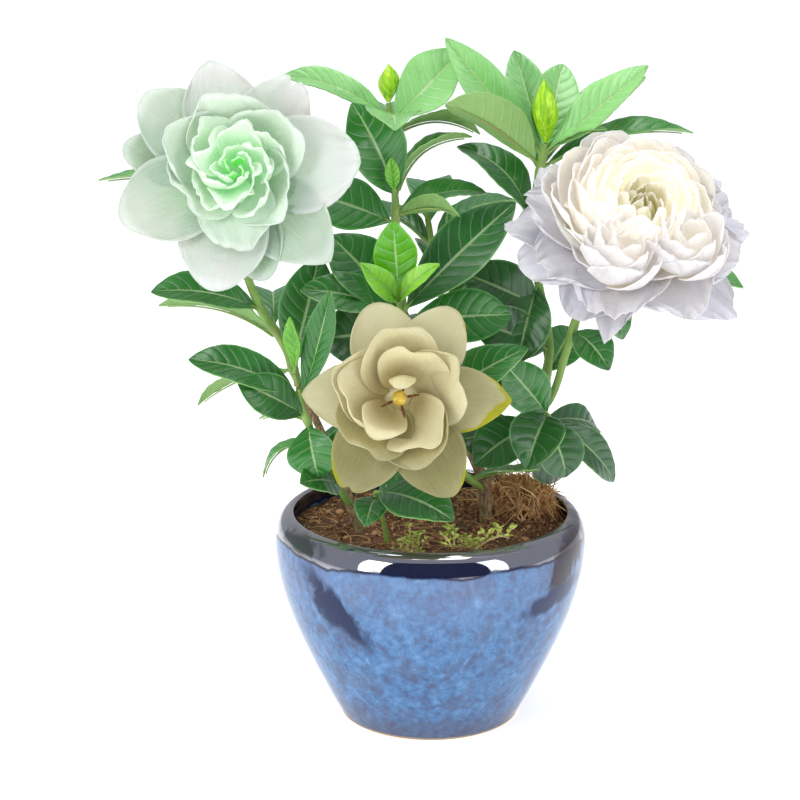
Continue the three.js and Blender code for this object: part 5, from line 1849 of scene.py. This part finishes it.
def bud_finish():
    """Yellow green ribs along the rolled leaves."""
    bud = Finish("bud")
    rib = bud.noise(1, bud.stretched(760, 760, 70), detail=3)
    mottle = bud.noise(240, detail=4)
    level = mottle * 0.3 + rib * 0.7
    colour = bud.ramp(level, (0.34, shade(0x5CA80C)), (0.5, shade(0x98CE0E)), (0.64, shade(0xD2EE4C)))
    relief = bud.bump(rib, 0.6, 0.7)
    return bud.surface(colour, mottle * 0.15 + 0.3, relief)


# Front bloom's middle

PISTIL_OUTLINE = [
    (1.6, 9.4), (1.55, 12), (1.5, 14.4), (1.9, 15.8), (2.6, 17), (3.1, 18),
    (3.2, 19), (3.05, 19.9), (2.6, 20.6), (1.9, 21), (0.9, 20.8), (0.1, 20.6),
]
ANTHER_LINE = [(2.4, 13.1), (4.6, 14.6), (6.9, 14.8), (8.7, 13.8)]
ANTHER_RADII = [0.4, 0.65, 0.55, 0.2]
ANTHER_AZIMUTHS = (10, 68, 205, 285)
COLLAR_OUTLINE = [(1.7, 12.4), (2.7, 12.4), (2.95, 12.7), (2.95, 13.4), (2.6, 13.8), (1.75, 13.8)]


def pistil_object():
    """The club-shaped pistil, slightly lobed towards its top."""
    colours = bpy.context.scene.gardenia_colours
    pistil = turned_piece("club_pistil", PISTIL_OUTLINE, sides=40)
    points = points_of(pistil.data)
    angle = np.arctan2(points[:, 1], points[:, 0])
    lobes = 1 + 0.03 * np.cos(5 * angle + 300 * points[:, 2]) * rising(points[:, 2] / MM, 14, 17)
    widen(pistil.data, lobes)
    place_on_bloom(pistil, BLOOM_FRONT)
    finish = Finish("pistil")
    pollen = finish.noise(1300, detail=4)
    patch = finish.noise(420, detail=3)
    level = patch * 0.6 + pollen * 0.4
    colour = finish.ramp(
        level, (0.3, shade(0x9A7A14)), (0.5, colours.pistil), (0.7, shade(0xEBD46A))
    )
    relief = finish.bump(pollen, 0.25, 0.8)
    pistil.data.materials.append(finish.surface(colour, pollen * 0.2 + 0.45, relief))
    smooth(pistil)
    settle(pistil, "pistil", "bloom_front_pistil")


def anthers_object():
    """The brown anthers that lie round the pistil, on a narrow collar."""
    colours = bpy.context.scene.gardenia_colours
    finish = Finish("anther")
    grain = finish.noise(900, detail=4)
    colour = finish.ramp(grain, (0.3, shade(0x3E1F08)), (0.5, colours.anther), (0.72, shade(0xA8702C)))
    material = finish.surface(colour, grain * 0.2 + 0.5, finish.bump(grain, 0.2, 0.7))
    foot, axes = bloom_axes(BLOOM_FRONT)
    rod = straight_rod("anther", sides=10, lengths=14)
    arms = []
    for azimuth in ANTHER_AZIMUTHS:
        a = math.radians(azimuth)
        line = [(r * math.cos(a), r * math.sin(a), z) for r, z in ANTHER_LINE]
        path = smooth_curve(line, np.linspace(0, 1, 12)) @ axes + foot
        shape = rod_shape(path, ANTHER_RADII, roughness=0.1)
        arms.append(shaped_copy(rod, shape, (0, 0, 0, 1), [material]))
    discard(rod)
    collar = turned_piece("collar", COLLAR_OUTLINE, sides=32)
    place_on_bloom(collar, BLOOM_FRONT)
    collar.data.materials.append(material)
    piece = join("brown_anthers", [collar, *arms])
    smooth(piece)
    settle(piece, "anther", "bloom_front_anthers")


# The studio: camera, world and lamps, in metres, degrees and watts. A lamp has its name, place,
# the point that it faces, its size and its power.
CAMERA_PLACE = (-0.014, -0.88, 0.382)
CAMERA_PITCH = -14.8
CAMERA_LENS = 89.7
CAMERA_SENSOR = 36
WORLD_COLOUR = (0.9, 0.92, 1, 1)
WORLD_STRENGTH = 0.58
FLOOR_SIZE = 40
FLOOR_GLOW = 0.55
CARD_PLACE = (0, -1.3, 0.75)
CARD_SIZE = (2.8, 1.5, 1)
CARD_LEAN = 62
LAMPS = (
    ("softbox_left", (-0.94, -0.97, 0.72), (0, 0, 0.16), (0.45, 1.15), 9),
    ("softbox_right", (0.94, -0.82, 0.68), (0, 0, 0.16), (0.34, 1.1), 4.2),
    ("softbox_top", (0.0, 0.1, 1.4), (0, 0, 0.2), (0.8, 0.8), 8),
)


# Operators: one for each piece or group of like pieces


class GARDENIA_OT_pot(bpy.types.Operator):
    """Turn the glazed bowl pot"""

    bl_idname = "gardenia.pot"
    bl_label = "Glazed pot"

    def execute(self, context):
        pot_object()
        return {"FINISHED"}


class GARDENIA_OT_soil(bpy.types.Operator):
    """Fill the pot with crumbly soil"""

    bl_idname = "gardenia.soil"
    bl_label = "Potting soil"

    def execute(self, context):
        soil_object()
        return {"FINISHED"}


class GARDENIA_OT_coir(bpy.types.Operator):
    """Lay the clump of coir on the soil"""

    bl_idname = "gardenia.coir"
    bl_label = "Coir clump"

    def execute(self, context):
        coir_object()
        return {"FINISHED"}


class GARDENIA_OT_moss(bpy.types.Operator):
    """Lay the creeping moss sprigs at the front of the soil"""

    bl_idname = "gardenia.moss"
    bl_label = "Moss sprigs"

    def execute(self, context):
        for name, sprig in MOSS.items():
            moss_object(name, sprig)
        return {"FINISHED"}


class GARDENIA_OT_trunks(bpy.types.Operator):
    """Stand the two woody stems in the soil"""

    bl_idname = "gardenia.trunks"
    bl_label = "Woody stems"

    def execute(self, context):
        finish = bark_finish(context.scene.gardenia_colours)
        for name, arms in TRUNKS.items():
            trunk_object(name, arms, finish)
        return {"FINISHED"}


class GARDENIA_OT_shoots(bpy.types.Operator):
    """Grow the leafy shoots on the woody stems"""

    bl_idname = "gardenia.shoots"
    bl_label = "Leafy shoots"

    def execute(self, context):
        colours = context.scene.gardenia_colours
        finishes = (
            leaf_finish(
                "leaf_upper", colours.leaf_dark, colours.leaf_mid, colours.leaf_light, roughness=0.2
            ),
            underside_finish("leaf_under", colours.leaf_under, shade(0xA9CC84)),
            green_stem_finish(colours),
        )
        blooms = {
            "shoot_bloom_left": BLOOM_LEFT, "shoot_bloom_right": BLOOM_RIGHT, "shoot_front": BLOOM_FRONT,
        }
        shoot_objects(SHOOTS, "leaf", finishes, "_leaves", blooms)
        return {"FINISHED"}


class GARDENIA_OT_young_leaves(bpy.types.Operator):
    """Open the lime green young leaves"""

    bl_idname = "gardenia.young_leaves"
    bl_label = "Young leaves"

    def execute(self, context):
        colours = context.scene.gardenia_colours
        finishes = (
            leaf_finish(
                "young_upper", shade(0x3C8A08), colours.young, shade(0xA8E048), roughness=0.24
            ),
            underside_finish("young_under", colours.young, shade(0xB6EE58)),
            green_stem_finish(colours),
        )
        shoot_objects(YOUNG, "young_leaf", finishes, "_tuft")
        return {"FINISHED"}


class GARDENIA_OT_buds(bpy.types.Operator):
    """Set the rolled leaf buds on the crown"""

    bl_idname = "gardenia.buds"
    bl_label = "Leaf buds"

    def execute(self, context):
        finish = bud_finish()
        for name, bud in BUDS.items():
            bud_object(name, bud, finish)
        return {"FINISHED"}


class GARDENIA_OT_bloom_left(bpy.types.Operator):
    """Open the mint and white bloom at the left"""

    bl_idname = "gardenia.bloom_left"
    bl_label = "Left bloom"

    def execute(self, context):
        colours = context.scene.gardenia_colours
        # The depth is partly the petals' own green and partly painted shade; the last tone is painted
        # shade
        tones = {
            "outer": colours.pale_petal, "inner": colours.mint, "depth": shade(0x74CE7A),
            "heart": shade(0x66DE58), "rim": shade(0xE8EAE4), "streak": shade(0xBACEBA),
            "shade_and_edge_tone": shade(0x80A680),
        }
        shares = {"inner": 0.55, "depth": 0.75, "rim": 0.6, "streak": 0.35}
        finish = petal_finish(
            "mint_petal", tones, shares, rough=0.4, subsurface=0.2, painted_light_share=0.35, crinkle=1.5
        )
        piece = bloom_piece("mint_bloom", BLOOM_LEFT, finish)
        settle(piece, "petal_pale", "bloom_left")
        return {"FINISHED"}


class GARDENIA_OT_bloom_right(bpy.types.Operator):
    """Open the full ivory bloom at the right"""

    bl_idname = "gardenia.bloom_right"
    bl_label = "Right bloom"

    def execute(self, context):
        colours = context.scene.gardenia_colours
        # The depth is partly the petals' own cream and partly painted shade between them; the last tone is
        # painted shade
        tones = {
            "outer": shade(0xCACAD6), "inner": colours.ivory_petal, "depth": colours.ivory_base_and_shade,
            "heart": shade(0x8A8408), "rim": shade(0xF2EFE8), "streak": shade(0xD8D2D8),
            "shade_and_edge_tone": shade(0xB0AEB8),
        }
        shares = {"inner": 0.95, "depth": 0.85, "rim": 0.35, "streak": 0.25}
        finish = petal_finish(
            "ivory_petal", tones, shares, rough=0.5, subsurface=0.35, painted_light_share=0.4, crinkle=1.8
        )
        piece = bloom_piece("ivory_bloom", BLOOM_RIGHT, finish)
        settle(piece, "petal_ivory", "bloom_right")
        return {"FINISHED"}


class GARDENIA_OT_bloom_front(bpy.types.Operator):
    """Open the cream bloom at the front"""

    bl_idname = "gardenia.bloom_front"
    bl_label = "Front bloom"

    def execute(self, context):
        colours = context.scene.gardenia_colours
        # The depth is partly the petals' own olive and partly painted shade round the pistil; the last
        # tone is painted shade
        tones = {
            "outer": colours.cream_petal, "inner": shade(0xCFC69C), "depth": shade(0x8C7838),
            "heart": shade(0xC0B688), "rim": shade(0xD8D2B2), "streak": shade(0xB5AB80),
            "shade_and_edge_tone": shade(0x807C4C),
        }
        shares = {"inner": 0.9, "depth": 0.75, "rim": 0.15, "streak": 0.2}
        finish = petal_finish(
            "cream_petal", tones, shares, rough=0.42, subsurface=0.3, painted_light_share=0.16, crinkle=0.7
        )
        piece = bloom_piece("cream_bloom", BLOOM_FRONT, finish)
        settle(piece, "petal_cream", "bloom_front")
        return {"FINISHED"}


class GARDENIA_OT_bloom_middle(bpy.types.Operator):
    """Set the pistil and the anthers in the front bloom's middle"""

    bl_idname = "gardenia.bloom_middle"
    bl_label = "Pistil and anthers"

    def execute(self, context):
        pistil_object()
        anthers_object()
        return {"FINISHED"}


class GARDENIA_OT_stage(bpy.types.Operator):
    """Set up the floor, the studio light and the camera"""

    bl_idname = "gardenia.stage"
    bl_label = "Stage"

    def execute(self, context):
        deselect()
        bpy.ops.mesh.primitive_grid_add(x_subdivisions=12, y_subdivisions=12, size=FLOOR_SIZE)
        floor = context.object
        floor.name = "studio_floor"
        paper = Finish("paper")
        grain = paper.noise(40, detail=3)
        tone = paper.mix(grain * 0.2, shade(0xFFFFFF), shade(0xFAFAFA))
        sheen = paper.surface(
            tone, grain * 0.1 + 0.85, paper.bump(grain, 0.1, 0.1),
            emission_color=(1, 1, 1, 1), emission_strength=FLOOR_GLOW, specular_ior_level=0.1,
        )
        floor.data.materials.append(sheen)
        self.dark_card(context)
        for lamp in LAMPS:
            self.softbox(*lamp)
        world = bpy.data.worlds.new("studio")
        world.use_nodes = True
        background = world.node_tree.nodes["Background"].inputs
        background["Color"].default_value = WORLD_COLOUR
        background["Strength"].default_value = WORLD_STRENGTH
        context.scene.world = world
        context.scene.view_settings.view_transform = "Standard"
        tilt = math.radians(90 + CAMERA_PITCH)
        bpy.ops.object.camera_add(location=CAMERA_PLACE, rotation=(tilt, 0, 0))
        camera = context.object
        camera.data.sensor_width = CAMERA_SENSOR
        camera.data.lens = CAMERA_LENS
        context.scene.camera = camera
        return {"FINISHED"}

    def softbox(self, name, place, aim, size, watts):
        turn = (Vector(aim) - Vector(place)).to_track_quat("-Z", "Y").to_euler()
        bpy.ops.object.light_add(type="AREA", location=place, rotation=turn)
        lamp = bpy.context.object
        lamp.name = name
        lamp.data.shape = "RECTANGLE"
        lamp.data.size, lamp.data.size_y = size
        lamp.data.energy = watts

    def dark_card(self, context):
        """What the pot's shoulder mirrors in its middle: a dark card that the camera doesn't see."""
        deselect()
        bpy.ops.mesh.primitive_grid_add(
            x_subdivisions=4, y_subdivisions=4, size=1, location=CARD_PLACE
        )
        card = context.object
        card.name = "dark_card"
        card.scale = CARD_SIZE
        card.rotation_euler = (math.radians(CARD_LEAN), 0, 0)
        black = Finish("black_card")
        grain = black.noise(60, detail=2)
        tone = black.mix(grain, shade(0x050608), shade(0x0A0C10))
        finish = black.surface(tone, grain * 0.1 + 0.8, black.bump(grain, 0.1, 0.1))
        card.data.materials.append(finish)
        card.visible_camera = False
        card.visible_diffuse = False
        card.visible_shadow = False


OPERATORS = (
    GARDENIA_OT_pot,
    GARDENIA_OT_soil,
    GARDENIA_OT_coir,
    GARDENIA_OT_moss,
    GARDENIA_OT_trunks,
    GARDENIA_OT_shoots,
    GARDENIA_OT_young_leaves,
    GARDENIA_OT_buds,
    GARDENIA_OT_bloom_left,
    GARDENIA_OT_bloom_right,
    GARDENIA_OT_bloom_front,
    GARDENIA_OT_bloom_middle,
    GARDENIA_OT_stage,
)


class GARDENIA_PT_pieces(bpy.types.Panel):
    """The sizes and colours, and a button for each piece"""

    bl_idname = "GARDENIA_PT_pieces"
    bl_label = "Potted Gardenia"
    bl_space_type = "VIEW_3D"
    bl_region_type = "UI"
    bl_category = "Gardenia"

    def draw(self, context):
        for group in (context.scene.gardenia_sizes, context.scene.gardenia_colours):
            box = self.layout.box()
            for name in group.bl_rna.properties.keys():
                if name not in ("rna_type", "name"):
                    box.prop(group, name)
        for operator in OPERATORS:
            self.layout.operator(operator.bl_idname)


CLASSES = (GardeniaSizes, GardeniaColours, *OPERATORS, GARDENIA_PT_pieces)


def register():
    for cls in CLASSES:
        bpy.utils.register_class(cls)
    bpy.types.Scene.gardenia_sizes = bpy.props.PointerProperty(type=GardeniaSizes)
    bpy.types.Scene.gardenia_colours = bpy.props.PointerProperty(type=GardeniaColours)


def unregister():
    del bpy.types.Scene.gardenia_sizes
    del bpy.types.Scene.gardenia_colours
    for cls in reversed(CLASSES):
        bpy.utils.unregister_class(cls)


def main():
    register()
    for operator in OPERATORS:
        group, name = operator.bl_idname.split(".")
        getattr(getattr(bpy.ops, group), name)()
    deselect()


if __name__ == "__main__":
    main()
